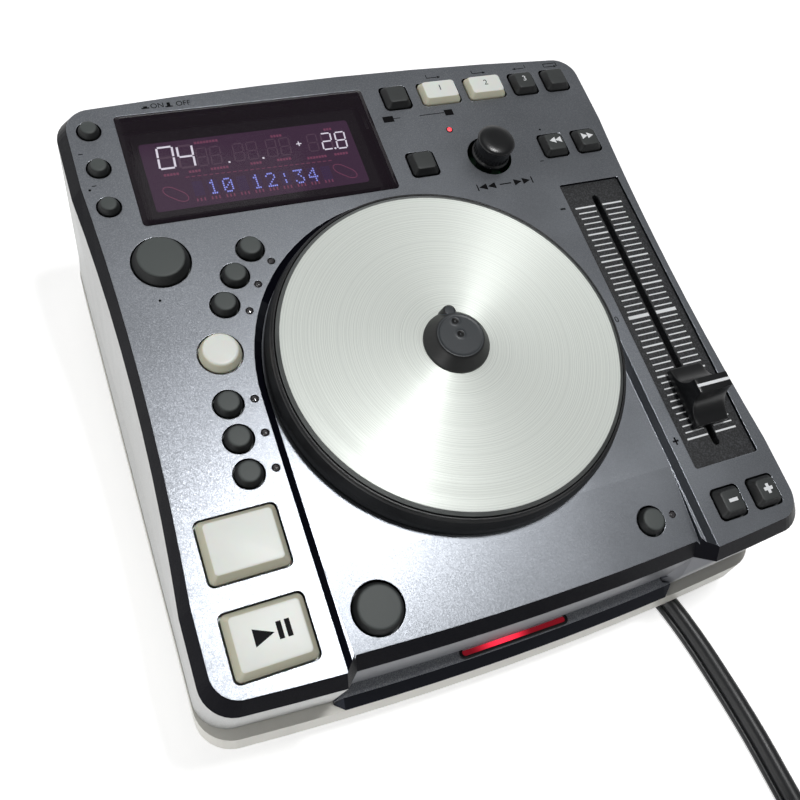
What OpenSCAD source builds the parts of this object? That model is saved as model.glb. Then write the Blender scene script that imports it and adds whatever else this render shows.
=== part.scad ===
// Tabletop DJ disc player: a wedge-shaped console with a jog wheel, a pitch fader, a display,
// twenty-five keys, a push encoder and a slot-loading disc mechanism.
// Millimetres. X points right, Y points back and Z up. The feet stand on Z = 0, and the case is
// centred on X = Y = 0. Places on the sloping deck are given as [x, s]: x from the middle line,
// s up the slope from the deck's front line; heights n are measured square to the deck.

/* [Case] */
// Width of the case at its foot
case_w = 216.6; // [210:0.2:262]
// Depth of the case from the tray's front to its back
case_d = 217.6; // [210:0.2:264]
// Height of the deck's front line above the table
deck_front_h = 59.7; // [57:0.1:74]
// Slope of the deck in degrees
deck_tilt = 9.5; // [6:0.1:12]
// Wall thickness of the case and the cover
wall = 2.2; // [1.8:0.1:2.8]
// Thickness of the deck plate
deck_t = 3; // [2.6:0.1:3.6]
// Height of the rubber feet
foot_h = 9; // [8.6:0.1:14]
// Height of the tray
tray_h = 11.5; // [10:0.1:12.5]
// Gap of the seams between the case parts
seam = 0.15; // [0.1:0.05:0.3]

/* [Deck outline] */
// How far the deck's painted face stops inside the case's side at its ends
deck_side = 4.7; // [4:0.1:6]
// How far the waist pulls the deck's sides in
waist_in = 2.7; // [0:0.1:4]
// How far the edge band leans out past the painted face at the sides
band_side = 3.6; // [2:0.1:4]
// How far the edge band leans out at the front
band_front = 2.9; // [2:0.1:4]
// Depth of the edge band
band_drop = 5.3; // [4:0.1:6.5]
// Radius of the deck's corners
corner_r = 9; // [6:0.5:12]
// Radius of the bowed front edges
front_bow = 1150; // [800:10:2000]
// Radius of the bowed back edge
back_bow = 1500; // [1000:10:2500]

/* [Jog wheel] */
// Diameter of the black jog wheel
jog_d = 126; // [112:1:126]
// Diameter of the metal plate on it
jog_plate_d = 120; // [104:1:120]
// Height of the plate's top above the deck
jog_top = 9.5; // [8.5:0.1:11]
// Place of the jog wheel's axis
jog_at = [0, 89.5];
// Clearance round the jog wheel in its recess
jog_gap = 3; // [2.5:0.1:3]
// Radius of the jog wheel's shaft
shaft_r = 3; // [2.5:0.1:3.5]
// Diameter of the rubber cap in the middle
cap_d = 23; // [18:0.5:26]

/* [Disc slot] */
// Diameter of the discs that the player takes
disc_d = 120; // [120:0.5:122]
// Height of the disc slot
slot_h = 4.6; // [4.4:0.1:5]
// Height of the slot's lower edge above the table
slot_z = 25; // [24.5:0.1:25.5]

/* [Pitch fader] */
// Travel of the fader
fader_travel = 100; // [80:1:100]
// Width of the fader's plate
fader_plate_w = 26.9; // [24:0.1:27.5]
// Length of the fader's plate beyond its travel
fader_over = 21.9; // [18:0.1:24]
// Width of the slot in the plate
fader_slot_w = 2.8; // [2.4:0.1:3.2]
// Place of the fader's middle
fader_at = [84.8, 88.6];
// Distance of the fader's cap from its middle at rest
fader_rest = -35.8; // [-38:0.1:38]

/* [Keys] */
// Clearance between a key and its opening
key_gap = 0.35; // [0.25:0.05:0.5]
// Travel of the small keys
key_travel = 0.7; // [0.4:0.1:0.8]
// Travel of the two large keys
big_travel = 1; // [0.6:0.1:1.1]
// Opening of the three smallest round keys
tiny_d = 8.5; // [7.5:0.1:9]
// Opening of the round effect keys
round_d = 10.2; // [9:0.1:11]
// Opening of the round tap key
tap_d = 20; // [16:0.1:21]
// Opening of the round disc mode key
mode_d = 15; // [12:0.1:16]
// Opening of the round eject key
eject_d = 17; // [14:0.1:18]
pitch_d = 10.7;
// Width of the two large keys' openings
big_w = 25.8; // [22:0.1:27]
// Depth of the two large keys' openings
big_l = 20.8; // [18:0.1:21.5]
// Side of the small square keys' openings
square_w = 11.8; // [10:0.1:12]
// Width of the two wide keys' openings
wide_w = 17.4; // [14:0.1:17.6]

/* [Encoder and display] */
// Diameter of the encoder's knob at its foot
knob_d = 15.6; // [13:0.1:16]
// Height of the encoder's knob above the deck
knob_h = 10; // [8:0.1:12]
// Place of the encoder's axis
knob_at = [48, 168.2];
// Width of the display's lens
lens_w = 93.8; // [84:0.1:95]
// Depth of the display's lens
lens_l = 47.2; // [40:0.1:48]
// Place of the lens's middle
lens_at = [-40, 183.4];

/* [Mains cord] */
// Diameter of the mains cord
cord_d = 8; // [7:0.1:8.4]

/* [Hidden] */
$fn = 64;
eps = 0.01;
// The layout below was drawn on a case of this width and this deck length; it spreads with the case
drawn_w = 216.6;
drawn_d = 217.6;
x_scale = case_w / drawn_w;
s_scale = case_d / drawn_d;

// Plan distances y are counted back from the deck's front line, which lies at Y = deck_y
tray_front = -2.6;
deck_y = -case_d / 2 - tray_front;
case_back = case_d + tray_front;
slope_sin = sin(deck_tilt);
slope_cos = cos(deck_tilt);

// Deck outline
deck_half = case_w / 2 - deck_side;
deck_apex = -1.5;
band_back = 3.3;
deck_back = case_back - band_back;
waist_front = 30.6 * s_scale;
waist_back = 176.5 * s_scale;
waist_share = 0.83;
centre_back = 5;
notch_slope = 4.8;
notch_out = disc_d / 2 + 6.3;
notch_in = notch_out - notch_slope;

// Heights
tray_top = foot_h + tray_h;
slot_top = slot_z + slot_h;
recess_n = -1.5;
recess_front_n = -4;
recess_kink = 31.5 * s_scale;
recess_t = 3;
band_low = -band_drop;
band_low_centre = recess_front_n - band_drop;

// Jog wheel and recess
jog_r = jog_d / 2;
recess_r = jog_r + jog_gap;
recess_slope = 2.5;
bush_r = shaft_r + 4.5;
run_fit = 0.05;
encoder_disc_n = -12;
encoder_disc_r = 13;

// Disc mechanism
disc_half = disc_d / 2 + 2;
disc_y = 82;
mech_half = disc_half + 8;
mech_front = 13;
mech_back = 158;
mech_z = 15;
mech_t = 1.5;
mech_top = 38;
roller_r = 3.5;
roller_y = 18.5;
roller_z = slot_z - roller_r - 0.5;
rail_x = 16;
rail_r = 1.5;
rail_z = mech_z + 4.7;
sled_rest = 24;

// Keys: places on the deck
title_at = [-96.3, 201.9];
memo_at = [-96.3, 185.7];
time_at = [-96.3, 169.5];
tap_at = [-84.7, 145];
echo_at = [-54.6, 144.2];
flanger_at = [-62.4, 134.9];
filter_at = [-68.6, 124.7];
mode_at = [-74.7, 107.5];
drag_at = [-76.9, 89.6];
brake_at = [-76.9, 77.5];
reverse_at = [-76.9, 65.6];
cue_at = [-84.5, 45];
play_at = [-84.5, 16.8];
eject_at = [-51, 15.6];
pitch_at = [47.9, 15.7];
bend_minus_at = [77.6, 13.4];
bend_plus_at = [92.8, 13.4];
jump_back_at = [77, 168.7];
jump_forward_at = [92.4, 168.7];
next_at = [19.6, 168.7];
flip_at = [19.9, 201.1];
hot_1_at = [38.6, 201.1];
hot_2_at = [59, 201.1];
b_at = [76.9, 200.9];
exit_at = [91.9, 200.9];
tiny_keys = [title_at, memo_at, time_at];
effect_keys = [echo_at, flanger_at, filter_at, drag_at, brake_at, reverse_at];
big_keys = [cue_at, play_at];
square_keys = [bend_minus_at, bend_plus_at, jump_back_at, jump_forward_at, next_at, flip_at, b_at, exit_at];
wide_keys = [hot_1_at, hot_2_at];
recess_keys = [[eject_at, eject_d], [pitch_at, pitch_d]];

// Key sections, square to the deck
key_flange = 0.7;
flange_t = 1.2;
flange_gap = 0.3;
stem_n = -8;
recess_stem_n = -9.2;
board_n = -14;
board_t = 1.6;
plunger_n = stem_n - big_travel - 0.3;
encoder_shaft_r = 3;
encoder_body_n = board_n + board_t + 5;
board_posts = [[-97, 60], [-97, 155], [-46, 30], [-50, 152], [98, 184], [30, 184], [66, 184], [60, 9], [97, 22.2]];
board_x = 30;
board_w = 120;
board_z = 13.2;

// Indicator lamps
led_d = 2.4;
led_gap = 0.15;
side_leds = [[-48.8, 138.2], [-55.7, 130.2], [-61.3, 120.9]];
row_leds = [[-68.4, 89.6], [-68.4, 77.6], [-68.4, 65.5]];
lone_leds = [[56.7, 15.7], [36.3, 182.9]];

// Rear
rear_half = 88;
rear_low = 26;
rear_high = 66;
rear_panel_y = case_back - 6.5;
gland_x = 70;
gland_z = 36;
gland_r = 7;
jack_x = [-34, -14, 12, 34];
jack_z = 40;
jack_r = 4.2;
power_x = -70;
power_z = 46;

// Cord route: centre line points [x, y, z], y counted back from the deck's front line
cord_r = cord_d / 2;
gland_out = 22;
cord_route = [[gland_x, case_back + gland_out, gland_z], [70, 241, gland_z], [68.8, 250.3, 35], [65.2, 259, 31.5],
    [59.5, 266.5, 25.8], [52, 272.2, 19], [43.3, 275.8, 12.8], [34, 277, 8], [24.7, 275.8, 5.3], [16, 272.2, 4.2],
    [8.5, 266.5, 4], [2.8, 259, 4], [-0.8, 250.3, 4], [-2, 241, 4], [-2.2, 228, 4], [-0.5, 214, 4], [3.5, 200, 4],
    [9, 184, 4], [15, 166, 4], [21.3, 147, 4], [27.6, 128, 4], [33.9, 109, 4], [40.3, 90, 4], [46.8, 71, 4],
    [53.4, 52, 4], [60.3, 34, 4], [67.3, 18, 4], [72.7, 3.5, 4], [76, -14, 4], [77.9, -34, 4], [79, -54, 4],
    [78.6, -74, 4], [78.1, -90, 4], [78, -105, 4]];
coil_at = [30, -126];
coil_mid_r = 48;
coil_half_w = 8.2;
coil_h = 17;
plug_at = [-28, -178];

// ---------- Frames ----------

// Places children on the deck: x and s on the slope, n square to it
module on_deck(at = [0, 0], n = 0) {
    translate([0, deck_y, deck_front_h])
        rotate([deck_tilt, 0, 0])
            translate([at[0] * x_scale, at[1] * s_scale, n])
                children();
}

// Places children at plan distance y behind the deck's front line
module at_plan(x = 0, y = 0, z = 0) {
    translate([x, deck_y + y, z])
        children();
}

// A point above the plan place (x, y) on the plane that lies n above the deck
function on_plane(x, y, n) = let (s = (y + n * slope_sin) / slope_cos)
    [x, deck_y + y, deck_front_h + s * slope_sin + n * slope_cos];

// A point above the plan place (x, y) at the level z
function on_level(x, y, z) = [x, deck_y + y, z];

// ---------- Outlines ----------

// Front edge at x: two bowed arms with the centre part set back between them
function front_y(x, apex, set_back) = apex + x * x / (2 * front_bow) + (abs(x) < notch_out - eps ? set_back : 0);

// Half width at y: parallel ends and a bowed waist between them
function half_at(y, half, waist) = let (t = (2 * y - waist_front - waist_back) / (waist_back - waist_front))
    half - (half - waist) * max(0, 1 - t * t);

// Right half of a case outline as [x, y, centre?], from the front's middle to the back's
function half_outline(half, waist, apex, set_back, back, r) = let (
        arm_x = half - r,
        arm_y = front_y(arm_x, apex, set_back) + r,
        back_y = back - arm_x * arm_x / (2 * back_bow) - r)
    concat(
        [for (i = [0:3]) let (x = i * notch_in / 4) [x, front_y(x, apex, set_back), 1]],
        [[notch_in, front_y(notch_in, apex, set_back), 1]],
        [[notch_out, front_y(notch_out, apex, set_back), 0]],
        [let (x = (notch_out + arm_x) / 2) [x, front_y(x, apex, set_back), 0]],
        [for (a = [-90:10:0]) [arm_x + r * cos(a), arm_y + r * sin(a), 0]],
        [for (i = [0:10]) let (y = waist_front + i * (waist_back - waist_front) / 10) [half_at(y, half, waist), y, 0]],
        [for (a = [0:10:90]) [arm_x + r * cos(a), back_y + r * sin(a), 0]],
        [for (i = [2:-1:0]) let (x = i * arm_x / 3) [x, back - x * x / (2 * back_bow), 0]]);

// The whole outline, counter-clockwise from the front's middle
function outline(half, waist, apex, set_back, back, r) = let (
        right = half_outline(half, waist, apex, set_back, back, r),
        last = len(right) - 1)
    concat(right, [for (i = [last - 1:-1:1]) [-right[i][0], right[i][1], right[i][2]]]);

// Lifts an outline to the plane n_side above the deck, or n_centre along the centre part
function deck_ring(line, n_side, n_centre) = [for (p = line) on_plane(p[0], p[1], p[2] == 1 ? n_centre : n_side)];

// Lifts an outline to the level z
function level_ring(line, z) = [for (p = line) on_level(p[0], p[1], z)];

// Two triangles between neighbouring rings i and j of m points
function band_faces(i, j, m) = [for (k = [0:m - 1]) let (next = (k + 1) % m)
    each [[i * m + k, i * m + next, j * m + next], [i * m + k, j * m + next, j * m + k]]];

// The middle of a ring
function ring_middle(ring, k = 0) = k == len(ring) - 1 ? ring[k] : ring[k] + ring_middle(ring, k + 1);

// A solid through rings from top to bottom, closed by flat ends that fan out from their middles
module loft(rings) {
    m = len(rings[0]);
    count = len(rings);
    total = m * count;
    polyhedron(
        points = concat([for (ring = rings) each ring],
            [ring_middle(rings[0]) / m, ring_middle(rings[count - 1]) / m]),
        faces = concat([for (k = [0:m - 1]) [total, (k + 1) % m, k]],
            [for (i = [0:count - 2]) each band_faces(i, i + 1, m)],
            [for (k = [0:m - 1]) [total + 1, (count - 1) * m + k, (count - 1) * m + (k + 1) % m]]));
}

// A tube through rings: down the outside and up the inside
module loft_shell(rings) {
    m = len(rings[0]);
    count = len(rings);
    polyhedron(
        points = [for (ring = rings) each ring],
        faces = [for (i = [0:count - 1]) each band_faces(i, (i + 1) % count, m)]);
}

// Outline of the painted deck, of the band's foot and of the case, each moved in by inset
function deck_line(inset) = outline(deck_half - inset, deck_half - waist_in - inset, deck_apex + inset,
    centre_back - recess_front_n * band_front / band_drop, deck_back - inset, corner_r - inset / 2);
function band_line(inset) = outline(deck_half + band_side - inset, deck_half - waist_in + waist_share * band_side - inset,
    deck_apex - band_front + inset, centre_back, deck_back + band_back - inset, corner_r + 2 - inset);
function lip_line(inset) = outline(case_w / 2 - 0.8 - inset, case_w / 2 - 2 - inset, -0.3 + inset,
    3.1, case_back - inset, corner_r + 3 - inset);
function foot_line(inset) = outline(case_w / 2 - 0.3 - inset, case_w / 2 - 0.3 - inset, 1.2 + inset,
    3, case_back - inset, corner_r + 3 - inset);
function tray_line(inset) = outline(case_w / 2 - inset, case_w / 2 - inset, tray_front + inset,
    0, case_back - inset, corner_r + 4 - inset);

// ---------- Small shapes ----------

// A flat rounded rectangle, centred
module rounded(w, l, r) {
    corner = min(r, w / 2 - eps, l / 2 - eps);
    union() {
        square([w - 2 * corner, l], center = true);
        square([w, l - 2 * corner], center = true);
        for (i = [-1, 1], j = [-1, 1])
            translate([i * (w / 2 - corner), j * (l / 2 - corner)])
                circle(corner, $fn = 32);
    }
}

// A block with rounded upright edges that stands on n = 0
module rounded_block(w, l, h, r) {
    linear_extrude(h)
        rounded(w, l, r);
}

// A ring
module ring(outer_r, inner_r, h) {
    difference() {
        cylinder(r = outer_r, h = h);
        translate([0, 0, -1])
            cylinder(r = inner_r, h = h + 2);
    }
}

// A round key: a flanged plunger with a cone-sided cap; n = 0 is the deck's face round it
module round_key(opening, top_d, rise, under_n, foot_n) {
    base_r = opening / 2 - key_gap;
    edge = 0.7;
    rotate_extrude()
        polygon([[0, rise], [top_d / 2 - edge, rise], [top_d / 2, rise - edge / 2], [base_r, 0.2],
            [base_r, under_n - flange_gap], [base_r + key_flange + key_gap, under_n - flange_gap],
            [base_r + key_flange + key_gap, under_n - flange_gap - flange_t],
            [2, under_n - flange_gap - flange_t], [2, foot_n], [0, foot_n]]);
}

// A rectangular key: a flanged plunger with a bevelled cap
module block_key(w, l, top_in, rise, foot_n) {
    key_w = w - 2 * key_gap;
    key_l = l - 2 * key_gap;
    skin = 0.1;
    under_n = -deck_t - flange_gap;
    hull() {
        translate([0, 0, rise - skin])
            linear_extrude(skin)
                rounded(key_w - 2 * top_in, key_l - 2 * top_in, 1.2, $fn = 16);
        translate([0, 0, 0.1])
            linear_extrude(skin)
                rounded(key_w, key_l, 1.8, $fn = 16);
    }
    translate([0, 0, under_n - flange_t])
        rounded_block(key_w, key_l, 0.2 + flange_t - under_n, 1.8);
    translate([0, 0, under_n - flange_t])
        rounded_block(key_w + 2 * key_gap + 1.4, key_l + 2 * key_gap + 1.4, flange_t, 2);
    translate([0, 0, foot_n])
        cylinder(r = 2, h = under_n - flange_t - foot_n + eps);
}

// ---------- Case ----------

module base_tray() {
    color("gainsboro")
        union() {
            difference() {
                at_plan(0, 0, foot_h)
                    linear_extrude(tray_h - seam)
                        polygon([for (p = tray_line(0)) [p[0], p[1]]]);
                at_plan(0, 0, foot_h + 1.6)
                    linear_extrude(tray_h)
                        polygon([for (p = tray_line(wall)) [p[0], p[1]]]);
                for (x = [-1, 1], i = [0:5])
                    at_plan(x * 52, 60 + i * 16 * s_scale, foot_h - 1)
                        rounded_vent();
            }
            difference() {
                at_plan(0, 0, tray_top - seam - 1.6)
                    linear_extrude(1.6)
                        polygon([for (p = tray_line(wall / 2)) [p[0], p[1]]]);
                at_plan(0, 0, tray_top - 4)
                    linear_extrude(5)
                        polygon([for (p = tray_line(8)) [p[0], p[1]]]);
            }
            for (x = [-1, 1], y = [mech_front + 12, mech_back - 12])
                at_plan(x * (mech_half - 6), y, foot_h + 1)
                    cylinder(r = 4, h = mech_z - foot_h - 1);
            for (x = [-1, 1], y = [mech_back + 12, case_back - 22])
                at_plan(board_x + x * (board_w / 2 - 6), y, foot_h + 1)
                    cylinder(r = 3, h = board_z - foot_h - 1);
        }
}

// A slot for cooling air through the tray's floor
module rounded_vent() {
    rounded_block(34, 3, 4, 1.5);
}

module side_case() {
    color("gainsboro")
        difference() {
            loft_shell([deck_ring(band_line(0), band_low - seam, band_low_centre - seam),
                level_ring(lip_line(0), slot_top),
                level_ring(foot_line(0), tray_top),
                level_ring(foot_line(wall), tray_top),
                level_ring(lip_line(wall), slot_top),
                deck_ring(band_line(wall), band_low - seam, band_low_centre - seam)]);
            at_plan(-disc_half - 0.5, -12, tray_top - 1)
                cube([2 * disc_half + 1, 30, slot_top - tray_top + 1]);
            at_plan(-rear_half * x_scale, case_back - 12, rear_low)
                cube([2 * rear_half * x_scale, 20, rear_high - rear_low]);
        }
}

// Outline of the sunken centre part: half a circle round the jog wheel and straight sides to the front
function recess_line(r, n) = concat(
    [for (i = [0:40]) let (a = i * 180 / 40) [r * cos(a), jog_at[1] * s_scale + r * sin(a), n]],
    [[-r, -20, n], [r, -20, n]]);

// The space that the sunken part leaves open: leaning walls, a flat floor and a slope down to the front
module recess_space() {
    lift = recess_slope / 2;
    slope = (recess_n - recess_front_n) / recess_kink;
    front = 20;
    loft([recess_line(recess_r + recess_slope, -recess_n), recess_line(recess_r - recess_slope, recess_n)]);
    polyhedron(
        points = [[-notch_in, -front, recess_n - slope * (recess_kink + front)],
            [notch_in, -front, recess_n - slope * (recess_kink + front)],
            [recess_r - recess_slope - 0.2, recess_kink + 1, recess_n + slope],
            [recess_slope - recess_r + 0.2, recess_kink + 1, recess_n + slope],
            [-notch_in, -front, recess_n + lift / 2],
            [notch_in, -front, recess_n + lift / 2],
            [recess_r - recess_slope - 0.2, recess_kink + 1, recess_n + lift / 2],
            [recess_slope - recess_r + 0.2, recess_kink + 1, recess_n + lift / 2]],
        faces = [[0, 1, 2], [0, 2, 3], [4, 6, 5], [4, 7, 6], [0, 5, 1], [0, 4, 5],
            [1, 6, 2], [1, 5, 6], [2, 7, 3], [2, 6, 7], [3, 4, 0], [3, 7, 4]]);
}

module top_cover() {
    pan_front = centre_back + 1.5;
    color([0.36, 0.38, 0.43])
        difference() {
            union() {
                loft([deck_ring(deck_line(0), 0, 0),
                    deck_ring(band_line(0), band_low, band_low_centre),
                    deck_ring(band_line(wall), band_low, band_low_centre),
                    deck_ring(deck_line(wall + 0.1), -deck_t, -deck_t)]);
                on_deck([0, 0], recess_n - recess_t)
                    linear_extrude(deck_t - recess_t - recess_n + eps + 0.5)
                        polygon([for (p = recess_line(recess_r + 1.5, 0)) [p[0], max(p[1], pan_front)]]);
                on_deck([0, 0], recess_front_n - recess_t)
                    translate([-notch_out - 1.5, pan_front, 0])
                        cube([2 * notch_out + 3, recess_kink - pan_front, -recess_front_n]);
                for (p = board_posts)
                    on_deck(p, board_n + board_t)
                        cylinder(r = 1.8, h = -board_n - board_t - deck_t + eps);
            }
            on_deck()
                recess_space();
            on_deck(jog_at, -20)
                cylinder(r = bush_r + key_gap, h = 30);
            for (p = tiny_keys)
                on_deck(p, -10)
                    cylinder(d = tiny_d, h = 20);
            for (p = effect_keys)
                on_deck(p, -10)
                    cylinder(d = round_d, h = 20);
            for (k = recess_keys)
                on_deck(k[0], -10)
                    cylinder(d = k[1], h = 20);
            on_deck(tap_at, -10)
                cylinder(d = tap_d, h = 20);
            on_deck(mode_at, -10)
                cylinder(d = mode_d, h = 20);
            on_deck(knob_at, -10)
                cylinder(d = knob_d + 2.4, h = 20);
            for (p = big_keys)
                on_deck(p, -10)
                    rounded_block(big_w, big_l, 20, 2.2);
            for (p = square_keys)
                on_deck(p, -10)
                    rounded_block(square_w, square_w, 20, 2);
            for (p = wide_keys)
                on_deck(p, -10)
                    rounded_block(wide_w, square_w, 20, 2);
            for (p = concat(side_leds, row_leds, lone_leds))
                on_deck(p, -10)
                    cylinder(d = led_d + 2 * led_gap, h = 20, $fn = 24);
            on_deck(lens_at, -10)
                rounded_block(lens_w + 2 * seam, lens_l + 2 * seam, 20, 1.6);
            on_deck(fader_at, -10)
                rounded_block(fader_plate_w + 2 * seam, fader_travel + fader_over + 2 * seam, 20, 1);
        }
}

// Section of the fascia at x as [y behind the tray's front line, z], from its foot round to the back
function fascia_section(x, half) = abs(x) <= half
    ? [[0, tray_top], [3.2, tray_top + 3], [7.3, slot_z], [14, slot_z], [14, tray_top]]
    : abs(x) < half + 2
        ? [[0, tray_top], [3.2, tray_top + 3], [4.3, tray_top + 3.4], [4.8, tray_top + 3.4], [4.8, tray_top]]
        : [[2.7, tray_top], [3, tray_top + 2.4], [3.4, tray_top + 2.8], [3.8, tray_top + 2.8], [3.8, tray_top]];

module front_fascia() {
    half = disc_half - 0.4;
    end = notch_out - 0.5;
    stations = concat([-end, -half - 1], [for (i = [-6:6]) i * half / 6], [half + 1, end]);
    last = len(stations) - 1;
    color([0.2, 0.21, 0.24])
        difference() {
            polyhedron(
                points = [for (x = stations) let (lead = front_y(x, tray_front, 0))
                    each [for (p = fascia_section(x, half)) on_level(x, min(lead + p[0], tray_front + 14), p[1])]],
                faces = concat([[0, 1, 2], [0, 2, 3], [0, 3, 4]],
                    [for (i = [0:last - 1]) each [for (k = [0:4]) let (next = (k + 1) % 5)
                        each [[i * 5 + k, (i + 1) * 5 + k, (i + 1) * 5 + next],
                            [i * 5 + k, (i + 1) * 5 + next, i * 5 + next]]]],
                    [for (t = [[2, 1, 0], [3, 2, 0], [4, 3, 0]]) [for (k = t) last * 5 + k]]));
            light_bar_shape(0.1);
        }
}

module light_bar_shape(grow) {
    bar_l = 40;
    bar_w = 2.2;
    at_plan(0, tray_front + 5.6, tray_top + 1.4 - grow)
        rounded_block(bar_l + 2 * grow, bar_w + 2 * grow, 2.4 + 4 * grow, 1.1 + grow);
}

module light_bar() {
    color([0.75, 0.05, 0.08])
        light_bar_shape(0);
}

module rear_panel() {
    color([0.12, 0.12, 0.13])
        difference() {
            at_plan(-rear_half * x_scale - 3, rear_panel_y, rear_low - 3)
                cube([2 * rear_half * x_scale + 6, 1.5, rear_high - rear_low + 6]);
            for (x = jack_x)
                at_plan(x, rear_panel_y + 3, jack_z)
                    rotate([90, 0, 0])
                        cylinder(r = jack_r, h = 6);
            at_plan(power_x * x_scale, rear_panel_y + 3, power_z)
                rotate([90, 0, 0])
                    linear_extrude(6)
                        rounded(9, 9, 1);
            at_plan(gland_x, rear_panel_y + 3, gland_z)
                rotate([90, 0, 0])
                    cylinder(r = gland_r, h = 6);
        }
}
module rear_jacks() {
    color("gold")
        for (x = jack_x)
            at_plan(x, rear_panel_y + 1.5, jack_z)
                rotate([90, 0, 0]) {
                    translate([0, 0, -5.5])
                        ring(jack_r - 0.1, jack_r - 0.9, 7);
                    translate([-6, -6, 1.5])
                        cube([12, 12, 10]);
                }
}

module rubber_feet() {
    color([0.08, 0.08, 0.08])
        for (x = [-1, 1], y = [20, case_back - 20])
            at_plan(x * (case_w / 2 - 22), y, 0)
                rotate_extrude()
                    polygon([[0, 0], [7.2, 0], [8, 0.8], [9, foot_h], [0, foot_h]]);
}

// ---------- Deck parts ----------

module display_lens() {
    lens_rise = 0.9;
    bevel = 1.6;
    color([0.16, 0.09, 0.16, 0.9])
        on_deck(lens_at, 0)
            union() {
                hull() {
                    translate([0, 0, lens_rise - 0.1])
                        linear_extrude(0.1)
                            rounded(lens_w - 2 * bevel, lens_l - 2 * bevel, 0.8, $fn = 16);
                    linear_extrude(0.1)
                        rounded(lens_w, lens_l, 1.4, $fn = 16);
                }
                translate([0, 0, -deck_t - flange_gap])
                    rounded_block(lens_w, lens_l, deck_t + flange_gap + 0.05, 1.4);
                translate([0, 0, -deck_t - flange_gap - 1.4])
                    rounded_block(lens_w + 4, lens_l + 2.4, 1.4, 2);
            }
}

module display_module() {
    glass_t = 5;
    under = -deck_t - flange_gap - 1.4;
    color([0.1, 0.16, 0.17])
        on_deck(lens_at, under - 0.3 - glass_t) {
            rounded_block(lens_w - 8, lens_l - 10, glass_t, 1);
            translate([0, 0, -1.6])
                rounded_block(lens_w + 2, lens_l, 1.6, 1);
        }
}

module fader_plate() {
    plate_l = fader_travel + fader_over;
    sunk = 1;
    color([0.07, 0.07, 0.08])
        on_deck(fader_at, 0)
            difference() {
                union() {
                    translate([0, 0, -deck_t - flange_gap])
                        rounded_block(fader_plate_w, plate_l, deck_t + flange_gap - sunk, 0.9);
                    translate([0, 0, -deck_t - flange_gap - 1.4])
                        rounded_block(fader_plate_w - 0.9, plate_l + 3, 1.4, 1);
                }
                translate([0, 0, -10])
                    rounded_block(fader_slot_w, fader_travel + 9.5, 20, fader_slot_w / 2);
            }
}

module fader_track() {
    under = -deck_t - flange_gap - 1.4;
    track_w = 12.4;
    track_h = 9.5;
    channel_w = 6;
    color("silver")
        on_deck(fader_at, under - track_h)
            difference() {
                rounded_block(track_w, fader_travel + 24, track_h, 0.6);
                translate([0, 0, 1])
                    rounded_block(channel_w, fader_travel + 14, track_h, 0.6);
            }
}

module fader_carriage() {
    under = -deck_t - flange_gap - 1.4;
    color("silver")
        on_deck(fader_at, 0)
            translate([0, fader_rest, 0]) {
                translate([-0.6, -2, under - 3])
                    cube([1.2, 4, 3 - under + 5.5]);
                translate([-2.7, -5, under - 7])
                    cube([5.4, 10, 4]);
            }
}

module fader_cap() {
    cap_w = 14;
    foot_l = 23;
    ridge_l = 5.4;
    height = 12;
    foot = 2.2;
    stem_w = 1.4;
    stem_l = 4.2;
    pocket_top = 5.5;
    // Side view: concave flanks sweep up from a long foot to a narrow ridge
    flank = [for (i = [0:8]) let (t = i / 8)
        [ridge_l / 2 + (foot_l - ridge_l) / 2 * pow(1 - t, 2), foot + (height - foot) * (0.12 * t + 0.88 * t * t)]];
    color([0.1, 0.1, 0.11])
        on_deck(fader_at, 0.3)
            translate([0, fader_rest, 0])
                difference() {
                    rotate([90, 0, 90])
                        translate([0, 0, -cap_w / 2])
                            linear_extrude(cap_w)
                                polygon(concat([[foot_l / 2, 0]], flank,
                                    [for (i = [8:-1:0]) [-flank[i][0], flank[i][1]]], [[-foot_l / 2, 0]]));
                    translate([-stem_w / 2, -stem_l / 2, -1])
                        cube([stem_w, stem_l, pocket_top + 1]);
                }
}

module indicator_leds() {
    color([0.8, 0.1, 0.1])
        for (p = concat(side_leds, row_leds, lone_leds)) {
            floor_n = p[1] < 30 ? -2.9 : 0;
            on_deck(p, 0)
                rotate_extrude($fn = 24)
                    polygon([[0, floor_n + 0.4], [led_d / 3, floor_n + 0.25], [led_d / 2, floor_n - 0.2],
                        [led_d / 2, board_n + board_t], [0, board_n + board_t]]);
        }
}

// ---------- Keys ----------

key_grey = [0.22, 0.24, 0.25];
key_black = [0.1, 0.1, 0.11];
key_ivory = [0.93, 0.92, 0.86];

module title_key() {
    color(key_grey) on_deck(title_at) round_key(tiny_d, 5.6, 2.4, -deck_t, stem_n);
}

module memo_key() {
    color(key_grey) on_deck(memo_at) round_key(tiny_d, 5.6, 2.4, -deck_t, stem_n);
}

module time_key() {
    color(key_grey) on_deck(time_at) round_key(tiny_d, 5.6, 2.4, -deck_t, stem_n);
}

module tap_key() {
    color(key_grey) on_deck(tap_at) round_key(tap_d, 15.6, 3.4, -deck_t, stem_n);
}

module echo_key() {
    color(key_grey) on_deck(echo_at) round_key(round_d, 7, 2.8, -deck_t, stem_n);
}

module flanger_key() {
    color(key_grey) on_deck(flanger_at) round_key(round_d, 7, 2.8, -deck_t, stem_n);
}

module filter_key() {
    color(key_grey) on_deck(filter_at) round_key(round_d, 7, 2.8, -deck_t, stem_n);
}

module disc_mode_key() {
    color(key_ivory) on_deck(mode_at) round_key(mode_d, 11, 3.4, -deck_t, stem_n);
}

module drag_key() {
    color(key_grey) on_deck(drag_at) round_key(round_d, 7, 2.8, -deck_t, stem_n);
}

module brake_key() {
    color(key_grey) on_deck(brake_at) round_key(round_d, 7, 2.8, -deck_t, stem_n);
}

module reverse_key() {
    color(key_grey) on_deck(reverse_at) round_key(round_d, 7, 2.8, -deck_t, stem_n);
}

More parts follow.
